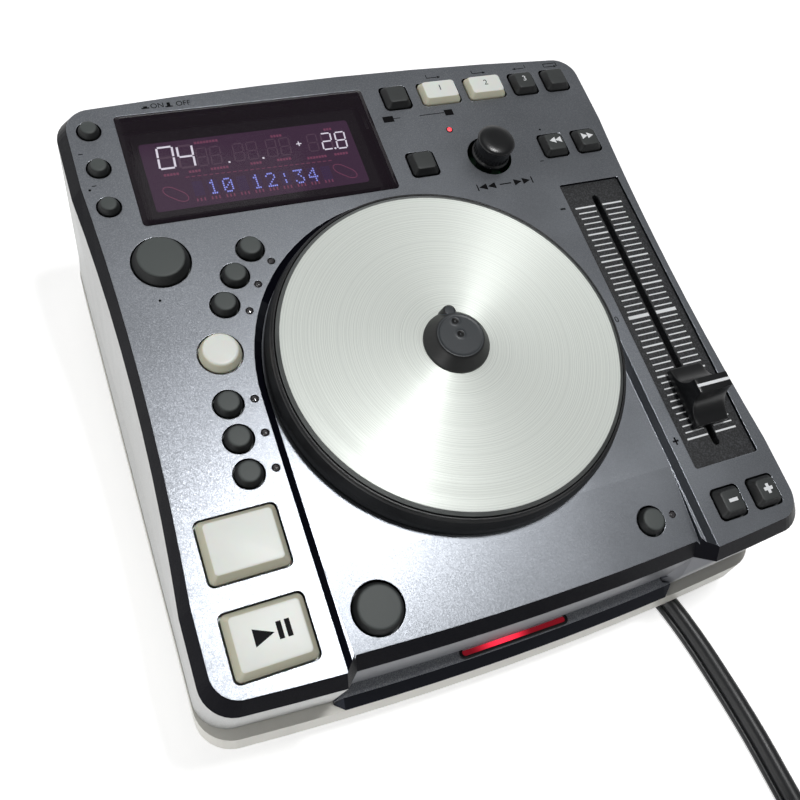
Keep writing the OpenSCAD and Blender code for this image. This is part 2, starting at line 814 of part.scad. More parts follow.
module cue_key() {
    color(key_ivory) on_deck(cue_at) block_key(big_w, big_l, 1.7, 3.6, stem_n);
}

module play_key() {
    color(key_ivory) on_deck(play_at) block_key(big_w, big_l, 1.7, 3.6, stem_n);
}

module eject_key() {
    color(key_grey) on_deck(eject_at) recess_key(eject_d, 13.6);
}

module pitch_key() {
    color(key_grey) on_deck(pitch_at) recess_key(pitch_d, pitch_d - 3.1);
}

// A round key that stands in the sunken part of the deck
module recess_key(opening, top_d) {
    floor_n = -2.9;
    translate([0, 0, floor_n])
        round_key(opening, top_d, 2.6, recess_front_n - recess_t - floor_n, recess_stem_n - floor_n);
}

module bend_minus_key() {
    color(key_black) on_deck(bend_minus_at) block_key(square_w, square_w, 0.9, 2.6, stem_n);
}

module bend_plus_key() {
    color(key_black) on_deck(bend_plus_at) block_key(square_w, square_w, 0.9, 2.6, stem_n);
}

module jump_back_key() {
    color(key_black) on_deck(jump_back_at) block_key(square_w, square_w, 0.9, 2.6, stem_n);
}

module jump_forward_key() {
    color(key_black) on_deck(jump_forward_at) block_key(square_w, square_w, 0.9, 2.6, stem_n);
}

module next_track_key() {
    color(key_black) on_deck(next_at) block_key(square_w, square_w, 0.9, 2.6, stem_n);
}

module flip_key() {
    color(key_black) on_deck(flip_at) block_key(square_w, square_w, 0.9, 2.6, stem_n);
}

module hot_1_key() {
    color(key_ivory) on_deck(hot_1_at) block_key(wide_w, square_w, 0.9, 2.6, stem_n);
}

module hot_2_key() {
    color(key_ivory) on_deck(hot_2_at) block_key(wide_w, square_w, 0.9, 2.6, stem_n);
}

module b_key() {
    color(key_black) on_deck(b_at) block_key(square_w, square_w, 0.9, 2.6, stem_n);
}

module exit_key() {
    color(key_black) on_deck(exit_at) block_key(square_w, square_w, 0.9, 2.6, stem_n);
}

// ---------- Encoder ----------

module encoder_shaft() {
    color("silver")
        on_deck(knob_at, encoder_body_n - 3)
            cylinder(r = encoder_shaft_r, h = knob_h - 3 - encoder_body_n + 3);
}

module encoder_knob() {
    ribs = 24;
    bore_top = knob_h - 3 + 0.3;
    color([0.08, 0.08, 0.09])
        on_deck(knob_at, 0)
            difference() {
                union() {
                    rotate_extrude()
                        polygon([[0, knob_h], [4.6, knob_h - 0.25], [6, knob_h - 1.1], [6.5, knob_h - 2.4],
                            [6.9, 0.6 + 1.2], [knob_d / 2, 0.6 + 0.8], [knob_d / 2, 0.6], [0, 0.6]]);
                    for (i = [0:ribs - 1])
                        rotate(i * 360 / ribs)
                            translate([6.7, -0.3, 0.8])
                                cube([0.6, 0.6, knob_h - 4.2]);
                }
                translate([0, 0, -1])
                    cylinder(r = encoder_shaft_r + run_fit, h = bore_top + 1);
            }
}

// ---------- Jog wheel ----------

module jog_wheel() {
    plate_t = 1.5;
    rim = jog_top - plate_t;
    hub_r = bush_r + 4;
    color([0.09, 0.09, 0.1])
        on_deck(jog_at, 0)
            rotate_extrude($fn = 128)
                polygon([[shaft_r, rim], [jog_plate_d / 2 + 0.6, rim], [jog_r - 1.2, 3.2], [jog_r, 2.2], [jog_r, -0.3],
                    [jog_r - 2, -0.3], [jog_plate_d / 2 - 2, rim - 2.4], [hub_r, rim - 2.4], [hub_r, 3.6],
                    [shaft_r, 3.6]]);
}

module jog_plate() {
    plate_t = 1.5;
    color([0.82, 0.83, 0.84])
        on_deck(jog_at, jog_top - plate_t)
            ring(jog_plate_d / 2, cap_d / 2 - 3, plate_t);
}

module jog_cap() {
    rise = 5.3;
    color([0.07, 0.08, 0.09])
        on_deck(jog_at, jog_top - 1.5)
            union() {
                rotate_extrude()
                    polygon([[0, 1.5 + rise], [cap_d / 2 - 3.9, 1.5 + rise], [cap_d / 2 - 3.3, 1.5 + rise - 0.5],
                        [cap_d / 2, 1.5 + 0.9], [cap_d / 2, 1.5 + 0.02], [cap_d / 2 - 3.2, 1.5 + 0.02],
                        [cap_d / 2 - 3.2, 0], [0, 0]]);
                translate([0, cap_d / 2 - 1.6, 1.5 + 0.02])
                    cylinder(r1 = 3, r2 = 2.2, h = rise - 0.7);
            }
}

module jog_shaft() {
    color("silver")
        on_deck(jog_at, 0) {
            translate([0, 0, encoder_disc_n - 2])
                cylinder(r = shaft_r, h = jog_top - 1.5 - encoder_disc_n + 2);
            translate([0, 0, encoder_disc_n])
                ring(encoder_disc_r, shaft_r - 0.5, 1);
        }
}

module jog_bearing() {
    color("goldenrod")
        on_deck(jog_at, 0)
            difference() {
                union() {
                    translate([0, 0, -10])
                        cylinder(r = bush_r, h = 13);
                    translate([0, 0, recess_n - recess_t - 2])
                        cylinder(r = bush_r + 6, h = 2);
                }
                translate([0, 0, -12])
                    cylinder(r = shaft_r + run_fit, h = 24);
            }
}

// ---------- Boards and supply ----------

module main_board() {
    color([0.1, 0.35, 0.2])
        union() {
            at_plan(board_x - board_w / 2, mech_back + 6, board_z)
                cube([board_w, case_back - 16 - mech_back - 6, 1.6]);
            at_plan(board_x - 30, mech_back + 14, board_z + 1.5)
                cube([22, 22, 2.2]);
            at_plan(board_x + 8, mech_back + 12, board_z + 1.5)
                cube([14, 18, 2]);
            for (i = [0:3])
                at_plan(board_x + 34 + (i % 2) * 11, mech_back + 14 + floor(i / 2) * 11, board_z + 1.5)
                    cylinder(r = 4, h = 12);
        }
}

// A square key switch that stands on its board
module key_switch(p, plunger_top) {
    on_deck(p, board_n + board_t - eps)
        translate([-3, -3, 0])
            cube([6, 6, 2]);
    on_deck(p, board_n + board_t)
        cylinder(r = 1.5, h = plunger_top - board_n - board_t);
}

module control_boards() {
    color([0.1, 0.3, 0.2])
        union() {
            on_deck([0, 0], board_n) {
                board(-100.5, 5, -44, 155);
                board(-100.5, 150, -89.5, 205);
                board(40, 5, 100, 23.5);
                board(11, 160, 100, 206);
            }
            for (p = concat(tiny_keys, effect_keys, big_keys, square_keys, wide_keys, [tap_at, mode_at]))
                key_switch(p, plunger_n);
            for (k = recess_keys)
                key_switch(k[0], recess_stem_n - key_travel - 0.3);
            on_deck(knob_at, board_n + board_t - eps)
                difference() {
                    translate([-6, -6, 0])
                        cube([12, 12, 5]);
                    translate([0, 0, 1])
                        cylinder(r = encoder_shaft_r + 0.3, h = 10);
                }
        }
}

// A board between two corners in drawn deck coordinates
module board(x0, s0, x1, s1) {
    translate([x0 * x_scale, s0 * s_scale, 0])
        cube([(x1 - x0) * x_scale, (s1 - s0) * s_scale, board_t]);
}

module power_supply() {
    supply_x = -64 * x_scale;
    supply_y = case_back - 32;
    floor_z = foot_h + 1.6;
    color([0.35, 0.33, 0.3])
        union() {
            at_plan(supply_x - 24, supply_y - 16, floor_z)
                cube([48, 26, 38]);
            at_plan(supply_x - 14, supply_y - 21, floor_z + 5)
                cube([28, 36, 28]);
            at_plan(supply_x - 30, supply_y - 16, floor_z)
                cube([60, 26, 1.5]);
        }
}

// ---------- Disc mechanism ----------

module mech_chassis() {
    color([0.6, 0.6, 0.62])
        union() {
            difference() {
                at_plan(-mech_half, mech_front, mech_z)
                    cube([2 * mech_half, mech_back - mech_front, mech_t]);
                at_plan(0, disc_y, mech_z - 1)
                    cylinder(r = 5, h = 10);
                at_plan(-11, disc_y + 20, mech_z - 1)
                    cube([22, 46, 10]);
            }
            difference() {
                for (x = [-1, 1])
                    at_plan(x * (mech_half - mech_t / 2) - mech_t / 2, mech_front, mech_z)
                        cube([mech_t, mech_back - mech_front, mech_top - mech_z]);
                at_plan(-mech_half - 5, roller_y, roller_z)
                    rotate([0, 90, 0])
                        cylinder(r = 1.5 + run_fit, h = 2 * mech_half + 10);
            }
            difference() {
                at_plan(-mech_half, mech_front + 8, mech_top - mech_t)
                    cube([2 * mech_half, mech_back - mech_front - 8, mech_t]);
                at_plan(0, disc_y, mech_top - 6)
                    cylinder(r = 17, h = 10);
                at_plan(-30, disc_y + 30, mech_top - 6)
                    cube([60, 30, 10]);
            }
            for (x = [-1, 1], y = [disc_y + 15, disc_y + 71])
                at_plan(x * rail_x - 3, y, mech_z + mech_t - eps)
                    cube([6, 3, rail_z - mech_z - mech_t + rail_r + 1]);
            for (x = [-1, 1])
                at_plan(x * rail_x, disc_y + 15, rail_z)
                    rotate([-90, 0, 0])
                        cylinder(r = rail_r, h = 59);
        }
}

module spindle_motor() {
    color([0.7, 0.7, 0.72])
        at_plan(0, disc_y, 0)
            difference() {
                translate([0, 0, mech_z + mech_t])
                    cylinder(r = 13, h = 4.6);
                translate([0, 0, mech_z])
                    cylinder(r = 1 + run_fit, h = 10);
            }
}

module spindle_hub() {
    motor_top = mech_z + mech_t + 4.6;
    color([0.15, 0.15, 0.16])
        at_plan(0, disc_y, 0)
            union() {
                translate([0, 0, mech_z + mech_t + 0.6])
                    cylinder(r = 1, h = 5);
                translate([0, 0, motor_top + 0.3])
                    rotate_extrude()
                        polygon([[0, 0], [10, 0], [10, 1], [7.4, 1.2], [6.4, 2.6], [0, 2.6]]);
            }
}

module pickup_sled() {
    sled_h = 5.6;
    color([0.14, 0.14, 0.15])
        at_plan(0, disc_y + sled_rest, 0)
            difference() {
                union() {
                    translate([-rail_x - 4, -5, rail_z - sled_h / 2])
                        cube([2 * rail_x + 8, 14, sled_h]);
                    translate([0, 2, rail_z + sled_h / 2 - eps])
                        cylinder(r = 3.2, h = 1.2);
                }
                for (x = [-1, 1])
                    translate([x * rail_x, -10, rail_z])
                        rotate([-90, 0, 0])
                            cylinder(r = rail_r + run_fit, h = 40);
            }
}

module feed_roller() {
    color([0.12, 0.12, 0.12])
        at_plan(0, roller_y, roller_z)
            rotate([0, 90, 0])
                union() {
                    translate([0, 0, -disc_half])
                        cylinder(r = roller_r, h = 2 * disc_half);
                    translate([0, 0, -mech_half - 2])
                        cylinder(r = 1.5, h = 2 * mech_half + 4);
                }
}

// ---------- Rear controls and cord ----------

module power_button() {
    color([0.1, 0.1, 0.11])
        at_plan(power_x * x_scale, rear_panel_y + 1.5, power_z)
            rotate([90, 0, 0])
                union() {
                    translate([0, 0, -6])
                        linear_extrude(9)
                            rounded(8, 8, 0.8);
                    translate([0, 0, 1.8])
                        linear_extrude(1.2)
                            rounded(11, 11, 0.8);
                    translate([0, 0, 2.9])
                        cylinder(r = 1.5, h = 5);
                }
}

module strain_relief() {
    color([0.07, 0.07, 0.07])
        at_plan(gland_x, rear_panel_y + 1.5, gland_z)
            rotate([-90, 0, 0])
                union() {
                    translate([0, 0, -4])
                        cylinder(r = gland_r - 0.1, h = 6.5);
                    translate([0, 0, 0.1])
                        cylinder(r = gland_r + 1.5, h = 2.4);
                    translate([0, 0, 2])
                        cylinder(r1 = gland_r - 0.6, r2 = cord_r + 0.5, h = gland_out + 8 - 1.5 - 2);
                }
}

// Direction of the route at point i
function heading(path, i) = let (
        a = path[max(i - 1, 0)],
        b = path[min(i + 1, len(path) - 1)],
        d = b - a)
    d / norm(d);

// One ring of the tube round point i
function tube_ring(path, i, r, sides) = let (
        t = heading(path, i),
        u = cross(t, [0, 0, 1]) / norm(cross(t, [0, 0, 1])),
        v = cross(u, t))
    [for (k = [0:sides - 1]) let (a = 360 * k / sides) path[i] + r * (cos(a) * u + sin(a) * v)];

module mains_cord() {
    sides = 10;
    path = [for (p = cord_route) on_level(p[0], p[1], max(p[2], cord_r))];
    color([0.06, 0.06, 0.06])
        loft([for (i = [0:len(path) - 1]) tube_ring(path, i, cord_r, sides)]);
}

module cord_coil() {
    color([0.06, 0.06, 0.06])
        at_plan(coil_at[0], coil_at[1], 0)
            rotate_extrude($fn = 96)
                translate([coil_mid_r, coil_h / 2])
                    rounded(2 * coil_half_w, coil_h, 5);
}

module mains_plug() {
    axis_z = 9;
    body_w = 24;
    body_l = 34;
    blade_gap = 12.7;
    blade_w = 6.3;
    blade_t = 1.5;
    blade_l = 18;
    tail_l = 31;
    color([0.08, 0.08, 0.08])
        at_plan(plug_at[0], plug_at[1], 0)
            rotate(-90)
                union() {
                    translate([0, -5, 0])
                        rounded_block(body_w, body_l, 2 * axis_z, 4);
                    for (x = [-blade_gap / 2, blade_gap / 2])
                        translate([x - blade_t / 2, -5 - body_l / 2 - blade_l, axis_z - blade_w / 2])
                            cube([blade_t, blade_l + 0.5, blade_w]);
                    translate([0, 11, axis_z])
                        rotate([-90, 0, 0])
                            cylinder(r1 = 7, r2 = cord_r + 0.5, h = tail_l);
                }
}

base_tray();
side_case();
top_cover();
front_fascia();
light_bar();
display_lens();
display_module();
fader_plate();
fader_track();
main_board();
control_boards();
power_supply();
rear_panel();
rear_jacks();
rubber_feet();
indicator_leds();
jog_bearing();
mech_chassis();
spindle_motor();
strain_relief();
mains_cord();
cord_coil();
mains_plug();
title_key();
memo_key();
time_key();
tap_key();
echo_key();
flanger_key();
filter_key();
disc_mode_key();
drag_key();
brake_key();
reverse_key();
cue_key();
play_key();
eject_key();
pitch_key();
bend_minus_key();
bend_plus_key();
jump_back_key();
jump_forward_key();
next_track_key();
flip_key();
hot_1_key();
hot_2_key();
b_key();
exit_key();
encoder_shaft();
encoder_knob();
fader_cap();
fader_carriage();
jog_wheel();
jog_plate();
jog_cap();
jog_shaft();
power_button();
spindle_hub();
pickup_sled();
feed_roller();
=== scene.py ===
# %% [markdown]
# # A tabletop disc player for DJs
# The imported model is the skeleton: it says where each part sits and how it moves. This lesson
# dresses that skeleton. Parts whose form is already right keep their mesh and get a finish;
# parts with a finer form get a new piece that stands exactly where the plain one stood.

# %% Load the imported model
import math

import bpy
import numpy as np
from mathutils import Matrix, Vector


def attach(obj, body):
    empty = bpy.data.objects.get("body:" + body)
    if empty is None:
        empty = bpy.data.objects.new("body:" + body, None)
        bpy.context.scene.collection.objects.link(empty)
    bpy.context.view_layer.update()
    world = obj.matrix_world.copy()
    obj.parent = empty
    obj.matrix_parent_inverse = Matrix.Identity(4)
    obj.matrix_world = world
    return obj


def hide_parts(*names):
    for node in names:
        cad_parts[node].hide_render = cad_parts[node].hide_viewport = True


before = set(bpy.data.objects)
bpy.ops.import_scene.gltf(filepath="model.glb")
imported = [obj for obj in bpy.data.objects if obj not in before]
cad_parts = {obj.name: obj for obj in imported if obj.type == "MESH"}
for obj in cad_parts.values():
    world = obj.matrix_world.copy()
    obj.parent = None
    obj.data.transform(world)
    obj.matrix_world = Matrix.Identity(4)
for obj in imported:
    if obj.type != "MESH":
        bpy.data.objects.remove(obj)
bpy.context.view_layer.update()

SCENE = bpy.context.scene
SCENE.view_settings.view_transform = "Standard"
MM = 0.001

# %% [markdown]
# ## The camera
# A hand-held camera looks down on the left front corner from a third of a metre away. So near,
# its height and turn decide every angle, so its place is written out in full.

# %% Camera
camera = bpy.data.objects.new("camera", bpy.data.cameras.new("camera"))
SCENE.collection.objects.link(camera)
camera.location = (-0.119172, -0.168561, 0.312674)
camera.rotation_euler = [math.radians(a) for a in (34.1037565, -9.3074653, -21.4128379)]
camera.data.lens = 40.04
camera.data.sensor_width = 36
camera.data.clip_start = 0.01
SCENE.camera = camera
print("camera", [round(v, 3) for v in camera.location])

# %% [markdown]
# ## Two rulers
# Most of what you touch lies on a deck that slopes by nine and a half degrees. It is far easier
# to draw a key flat and then lay it on the slope, so one matrix turns deck millimetres (across,
# up the slope, square to it) into metres in the scene. A second one does the same for the level
# parts of the case, whose depth is counted from the deck's front line.

# %% Deck and floor rulers
TILT = math.radians(9.5)
DECK_UP = (0, -math.sin(TILT), math.cos(TILT))
FRONT_Y, FRONT_Z = -106.2, 59.7
DECK = (Matrix.Scale(MM, 4) @ Matrix.Translation((0, FRONT_Y, FRONT_Z))
        @ Matrix.Rotation(TILT, 4, "X"))
PLAN = Matrix.Scale(MM, 4) @ Matrix.Translation((0, FRONT_Y, 0))
print("deck lies at", [round(v, 4) for v in DECK.translation])


def facing_back(x, y, z):
    """A place in the level plan whose upright axis points backwards."""
    return PLAN @ Matrix.Translation((x, y, z)) @ Matrix.Rotation(-math.pi / 2, 4, "X")


# %% [markdown]
# ## Small shape helpers
# A shape is a list of points and a list of faces, in millimetres. Turned parts come from a
# profile, moulded blocks from a stack of rounded outlines, and printed marks from thin prisms.

# %% Turned shapes
def rounded_profile(points, radii):
    """Rounds the corners of a profile; radii gives one radius for each inner corner."""
    out = [points[0]]
    for before, corner, after, r in zip(points, points[1:], points[2:], radii):
        if r == 0:
            out.append(corner)
            continue
        p = [Vector(v) for v in (before, corner, after)]
        reach = [min(r, 0.48 * (q - p[1]).length) for q in (p[0], p[2])]
        start = p[1] + (p[0] - p[1]).normalized() * reach[0]
        end = p[1] + (p[2] - p[1]).normalized() * reach[1]
        for i in range(6):
            t = i / 5
            out.append(tuple(start * (1 - t) ** 2 + p[1] * 2 * t * (1 - t) + end * t * t))
    return out + [points[-1]]


def revolve(profile, at=(0, 0), segments=96):
    """Turns (radius, height) points, listed from the top down, round an upright axis."""
    points, rows = [], []
    for r, n in profile:
        if r < 1e-6:
            rows.append([len(points)] * segments)
            points.append((at[0], at[1], n))
        else:
            rows.append(range(len(points), len(points) + segments))
            turns = (2 * math.pi * i / segments for i in range(segments))
            points += [(at[0] + r * math.cos(a), at[1] + r * math.sin(a), n) for a in turns]
    faces = []
    for upper, lower in zip(rows, rows[1:]):
        for i in range(segments):
            j = (i + 1) % segments
            faces.append(tuple(dict.fromkeys((upper[j], upper[i], lower[i], lower[j]))))
    return points, faces

# %% Outlines
def rounded_outline(w, l, r, at=(0, 0), steps=6):
    """A rectangle with rounded corners, counter-clockwise."""
    out = []
    for quarter, (sx, sy) in enumerate(((1, 1), (-1, 1), (-1, -1), (1, -1))):
        for i in range(steps + 1):
            a = math.pi / 2 * (quarter + i / steps)
            out.append((at[0] + sx * (w / 2 - r) + r * math.cos(a),
                        at[1] + sy * (l / 2 - r) + r * math.sin(a)))
    return out


def box(x0, y0, x1, y1):
    """A rectangle between two corners."""
    return [(x0, y0), (x1, y0), (x1, y1), (x0, y1)]

# %% Stacks and prisms
def loft(points, count):
    """Joins rows of so many points each by faces, and closes both ends."""
    faces = [tuple(range(count))]
    last = len(points) - count
    for a in range(0, last, count):
        for i in range(count):
            j = (i + 1) % count
            faces.append((a + j, a + i, a + count + i, a + count + j))
    return points, faces + [tuple(range(len(points) - 1, last - 1, -1))]


def stack(levels):
    """Joins outlines of equal length, given as (outline, height) from the top down."""
    return loft([(x, y, n) for outline, n in levels for x, y in outline], len(levels[0][0]))


def prism(outline, low, high):
    """A flat outline with a thickness."""
    return stack([(outline, high), (outline, low)])


def join(*shapes):
    """Several shapes as one."""
    points, faces = [], []
    for more_points, more_faces in shapes:
        shift = len(points)
        points += list(more_points)
        faces += [tuple(i + shift for i in face) for face in more_faces]
    return points, faces


# %% [markdown]
# ## Putting a piece in place
# Every piece keeps its object at the origin and carries its place in its mesh, so patterns that
# read Object coordinates stay put. It then rides on the body that moves it. Its slot, the
# material's name in the part's record, is the name of its finish.

# %% Piece helper
FINISH = {}


def piece(name, shape, finish, body="console", place=DECK, smooth=32, stands_for=()):
    """Makes one riding piece from a shape."""
    mesh = bpy.data.meshes.new(name)
    mesh.from_pydata(shape[0], [], shape[1])
    mesh.transform(place)
    mesh.polygons.foreach_set("use_smooth", [True] * len(mesh.polygons))
    mesh.set_sharp_from_angle(angle=math.radians(smooth))
    mesh.materials.append(FINISH[finish])
    made = bpy.data.objects.new(name, mesh)
    SCENE.collection.objects.link(made)
    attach(made, body)
    if stands_for:
        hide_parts(*stands_for)
    print(f"{name}: {len(mesh.polygons)} faces on {body}")
    return made


# %% [markdown]
# ## Building node trees in a few words
# A finish is a node tree. One helper adds a node and plugs in its inputs: a number or a colour
# is set, and another node's socket is linked. The others are short ways to say what is needed
# most often.

# %% Colours and nodes
def srgb(r, g, b):
    """A colour as it is seen on a screen, turned into linear light."""
    def linear(v):
        v /= 255
        return v / 12.92 if v <= 0.04045 else ((v + 0.055) / 1.055) ** 2.4
    return (linear(r), linear(g), linear(b), 1)


def node(tree, kind, inputs=None, **settings):
    """Adds a node with its settings and inputs."""
    made = tree.nodes.new(kind)
    for key, value in settings.items():
        setattr(made, key, value)
    for key, value in (inputs or {}).items():
        if isinstance(value, bpy.types.NodeSocket):
            tree.links.new(value, made.inputs[key])
        else:
            made.inputs[key].default_value = value
    return made

# %% Sums, vectors and mixes
def maths(tree, operation, *values):
    """A Math node's result."""
    return node(tree, "ShaderNodeMath", dict(enumerate(values)), operation=operation).outputs[0]


def vectors(tree, operation, *values):
    """A Vector Math node's first output, or its value for a dot product or length."""
    made = node(tree, "ShaderNodeVectorMath", dict(enumerate(values)), operation=operation)
    return made.outputs["Value" if operation in ("DOT_PRODUCT", "LENGTH") else "Vector"]


def blend(tree, factor, first, second):
    """A mix of two colours."""
    inputs = {0: factor, 6: first, 7: second}
    return node(tree, "ShaderNodeMix", inputs, data_type="RGBA").outputs[2]


def remap(tree, value, low, high, to_low=0.0, to_high=1.0, kind="LINEAR"):
    """A Map Range node's result."""
    inputs = dict(enumerate((value, low, high, to_low, to_high)))
    return node(tree, "ShaderNodeMapRange", inputs, interpolation_type=kind).outputs[0]


def separate(tree, vector):
    """The X, Y and Z of a vector."""
    return node(tree, "ShaderNodeSeparateXYZ", {0: vector}).outputs

# %% Places, directions and noise
def on_piece(tree):
    """The place on the piece itself, which moves and turns with it."""
    return node(tree, "ShaderNodeTexCoord").outputs["Object"]


def noise(tree, scale, detail, **more):
    """Noise over the piece, from 0 to 1."""
    inputs = {"Vector": on_piece(tree), "Scale": scale, "Detail": detail, **more}
    return node(tree, "ShaderNodeTexNoise", inputs).outputs[0]


def faces_along(tree, direction):
    """From 1, where the surface faces the direction, to -1, where it faces away."""
    true = node(tree, "ShaderNodeNewGeometry").outputs["True Normal"]
    return vectors(tree, "DOT_PRODUCT", true, direction)

# %% Groups and finishes
def new_group(name, inputs, outputs):
    """An empty node group with named sockets, and its inner ends."""
    group = bpy.data.node_groups.new(name, "ShaderNodeTree")
    for label, default in inputs.items():
        socket = group.interface.new_socket(label, in_out="INPUT", socket_type="NodeSocketFloat")
        socket.default_value = default
    for label, kind in outputs.items():
        group.interface.new_socket(label, in_out="OUTPUT", socket_type="NodeSocket" + kind)
    return group, node(group, "NodeGroupInput").outputs, node(group, "NodeGroupOutput")


def use(tree, group, **values):
    """A group placed in a material with its own values; underscores stand for spaces."""
    inputs = {key.replace("_", " "): value for key, value in values.items()}
    return node(tree, "ShaderNodeGroup", inputs, node_tree=group).outputs


def feed(tree, end, **links):
    """Links varying values to the sockets of a shader or a group's end."""
    for key, socket in links.items():
        tree.links.new(socket, end.inputs[key.replace("_", " ")])


def finish(name, **sockets):
    """A new material with one Principled shader, kept in FINISH; returns tree and shader."""
    FINISH[name] = bpy.data.materials.new(name)
    FINISH[name].use_nodes = True
    tree = FINISH[name].node_tree
    shader = tree.nodes["Principled BSDF"]
    for key, value in sockets.items():
        shader.inputs[key.replace("_", " ")].default_value = value
    print("finish", name)
    return tree, shader


# %% [markdown]
# ## Shared effects
# Three effects return in many finishes, so each is a node group. *Moulded skin* is the fine
# spark-eroded grain of plastic, with edges that the tool and the thumb have rounded. *Flake
# paint* scatters tiny tilted metal flakes. *Handling* is the uneven polish that hands leave.

# %% Moulded skin
def rounded_edges(group, radius):
    """A normal that is rounded over edges, and a mask of where the rounding turned it."""
    bevel = node(group, "ShaderNodeBevel", {"Radius": radius}, samples=6).outputs[0]
    true = node(group, "ShaderNodeNewGeometry").outputs["True Normal"]
    return bevel, remap(group, vectors(group, "DOT_PRODUCT", bevel, true), 0.995, 0.8)


SKIN, given, end = new_group(
    "moulded_skin", {"Grain Scale": 4000, "Relief": 0.3, "Edge Radius": 0.3 * MM},
    {"Normal": "Vector", "Edge": "Float"})
normal, edge = rounded_edges(SKIN, given["Edge Radius"])
grain = noise(SKIN, given["Grain Scale"], 2.0)
bump = node(SKIN, "ShaderNodeBump", {"Height": grain, "Strength": given["Relief"],
                                     "Distance": 0.1 * MM, "Normal": normal})
feed(SKIN, end, Normal=bump.outputs[0], Edge=edge)

# %% Flake paint
FLAKES, given, end = new_group(
    "flake_paint", {"Flake Scale": 5000, "Tilt": 0.08, "Edge Radius": 0.3 * MM},
    {"Normal": "Vector", "Sparkle": "Float", "Edge": "Float"})
normal, edge = rounded_edges(FLAKES, given["Edge Radius"])
cells = node(FLAKES, "ShaderNodeTexVoronoi",
             {"Vector": on_piece(FLAKES), "Scale": given["Flake Scale"]}).outputs["Color"]
lean = vectors(FLAKES, "SUBTRACT", cells, (0.5, 0.5, 0.5))
tilted = node(FLAKES, "ShaderNodeVectorMath", {0: lean, "Scale": given["Tilt"]},
              operation="SCALE").outputs[0]
chance = node(FLAKES, "ShaderNodeSeparateColor", {0: cells}).outputs[0]
feed(FLAKES, end, Normal=vectors(FLAKES, "NORMALIZE", vectors(FLAKES, "ADD", normal, tilted)),
     Sparkle=maths(FLAKES, "POWER", chance, 2.5), Edge=edge)

# %% Handling
HANDLING, given, end = new_group("handling", {"Patch Scale": 60, "Streak Scale": 400},
                                 {"Polish": "Float", "Dust": "Float"})
streaks = noise(HANDLING, given["Streak Scale"], 2.0, Distortion=1.5)
feed(HANDLING, end, Polish=noise(HANDLING, given["Patch Scale"], 3.0),
     Dust=remap(HANDLING, streaks, 0.55, 0.8))
print("groups:", [g.name for g in bpy.data.node_groups])

# %% [markdown]
# ## Finishes for moulded and turned parts
# One recipe makes most of the plastics, rubbers and metals: two tones mixed by the handling
# noise, a lighter tone on worn edges, a roughness that wanders a little, and the skin's normal.

# %% Plastics, rubbers and metals
def moulded(name, colour, rough, grain=2500, relief=0.25, edge=0.3, wear=1.5, tone=0.1,
            metallic=0.0, **sockets):
    """A finish in the given screen colour; its edge is in millimetres."""
    tree, shader = finish(name, Metallic=metallic, **sockets)
    skin = use(tree, SKIN, Grain_Scale=grain, Relief=relief, Edge_Radius=edge * MM)
    polish = use(tree, HANDLING)["Polish"]
    base = srgb(*colour)
    low, high, worn = ([min(1, c * k) for c in base[:3]] + [1] for k in (1 - tone, 1 + tone, wear))
    feed(tree, shader, Normal=skin["Normal"],
         Base_Color=blend(tree, skin["Edge"], blend(tree, polish, low, high), worn),
         Roughness=remap(tree, polish, 0.25, 0.75, rough * 0.88, rough * 1.12))


moulded("knob_black", (17, 18, 20), 0.3, wear=1.6, edge=0.35)
moulded("jog_black", (13, 14, 16), 0.38, relief=0.12, edge=0.4)
moulded("jog_rim", (118, 121, 120), 0.45, 5000, 0.5, metallic=1.0, tone=0.25, wear=1.3)
moulded("foot_rubber", (26, 26, 27), 0.75, relief=0.5)
moulded("cord_black", (30, 31, 33), 0.42, 1500, edge=0.1)
moulded("plug_black", (30, 30, 32), 0.45, relief=0.3)
moulded("panel_black", (28, 29, 31), 0.5, relief=0.4)
moulded("inner_black", (24, 25, 27), 0.6)
moulded("transformer_iron", (96, 90, 84), 0.55, metallic=0.6)
moulded("board_green", (28, 84, 52), 0.35, 700, 0.3)
moulded("tray_grey", (230, 228, 220), 0.4, relief=0.12, wear=1.15, tone=0.03)
moulded("led_red", (60, 58, 60), 0.12, relief=0.0, edge=0.1, Coat_Weight=1.0)
moulded("print_black", (6, 6, 9), 0.55, relief=0.1, edge=0.02, wear=0.3, Specular_IOR_Level=0.1)
moulded("print_white", (236, 238, 240), 0.5, relief=0.1, edge=0.02, wear=1.0, tone=0.03)
for name, colour, rough, relief in (
        ("steel", (170, 172, 176), 0.32, 0.08), ("chassis_steel", (150, 153, 158), 0.38, 0.1),
        ("bearing_brass", (190, 160, 95), 0.3, 0.06), ("jack_gold", (214, 178, 92), 0.22, 0.04)):
    moulded(name, colour, rough, relief=relief, metallic=1.0, wear=1.1)

# %% [markdown]
# ## The lit keys' milky plastic
# The two large keys, the two wide ones and one round one are moulded in a milky plastic that a
# lamp shines through. Their tops are a cool white, and their sides are drawn a darker, warm olive
# ivory, which is painted shade. The colour therefore depends on how upright the face is.

# %% Ivory
tree, shader = finish("key_ivory", Roughness=0.38, Subsurface_Weight=0.15,
                      Subsurface_Scale=2 * MM, IOR=1.48)
skin = use(tree, SKIN, Grain_Scale=2200, Relief=0.12, Edge_Radius=0.5 * MM)
polish = use(tree, HANDLING)["Polish"]
# Painted shade: upright faces are drawn darker and warmer than the tops.
shaded_sides = blend(tree, polish, srgb(204, 202, 178), srgb(216, 213, 192))
tops = blend(tree, polish, srgb(232, 235, 228), srgb(242, 245, 240))
on_top = remap(tree, faces_along(tree, DECK_UP), 0.55, 0.97)
feed(tree, shader, Normal=skin["Normal"], Base_Color=blend(tree, on_top, shaded_sides, tops))
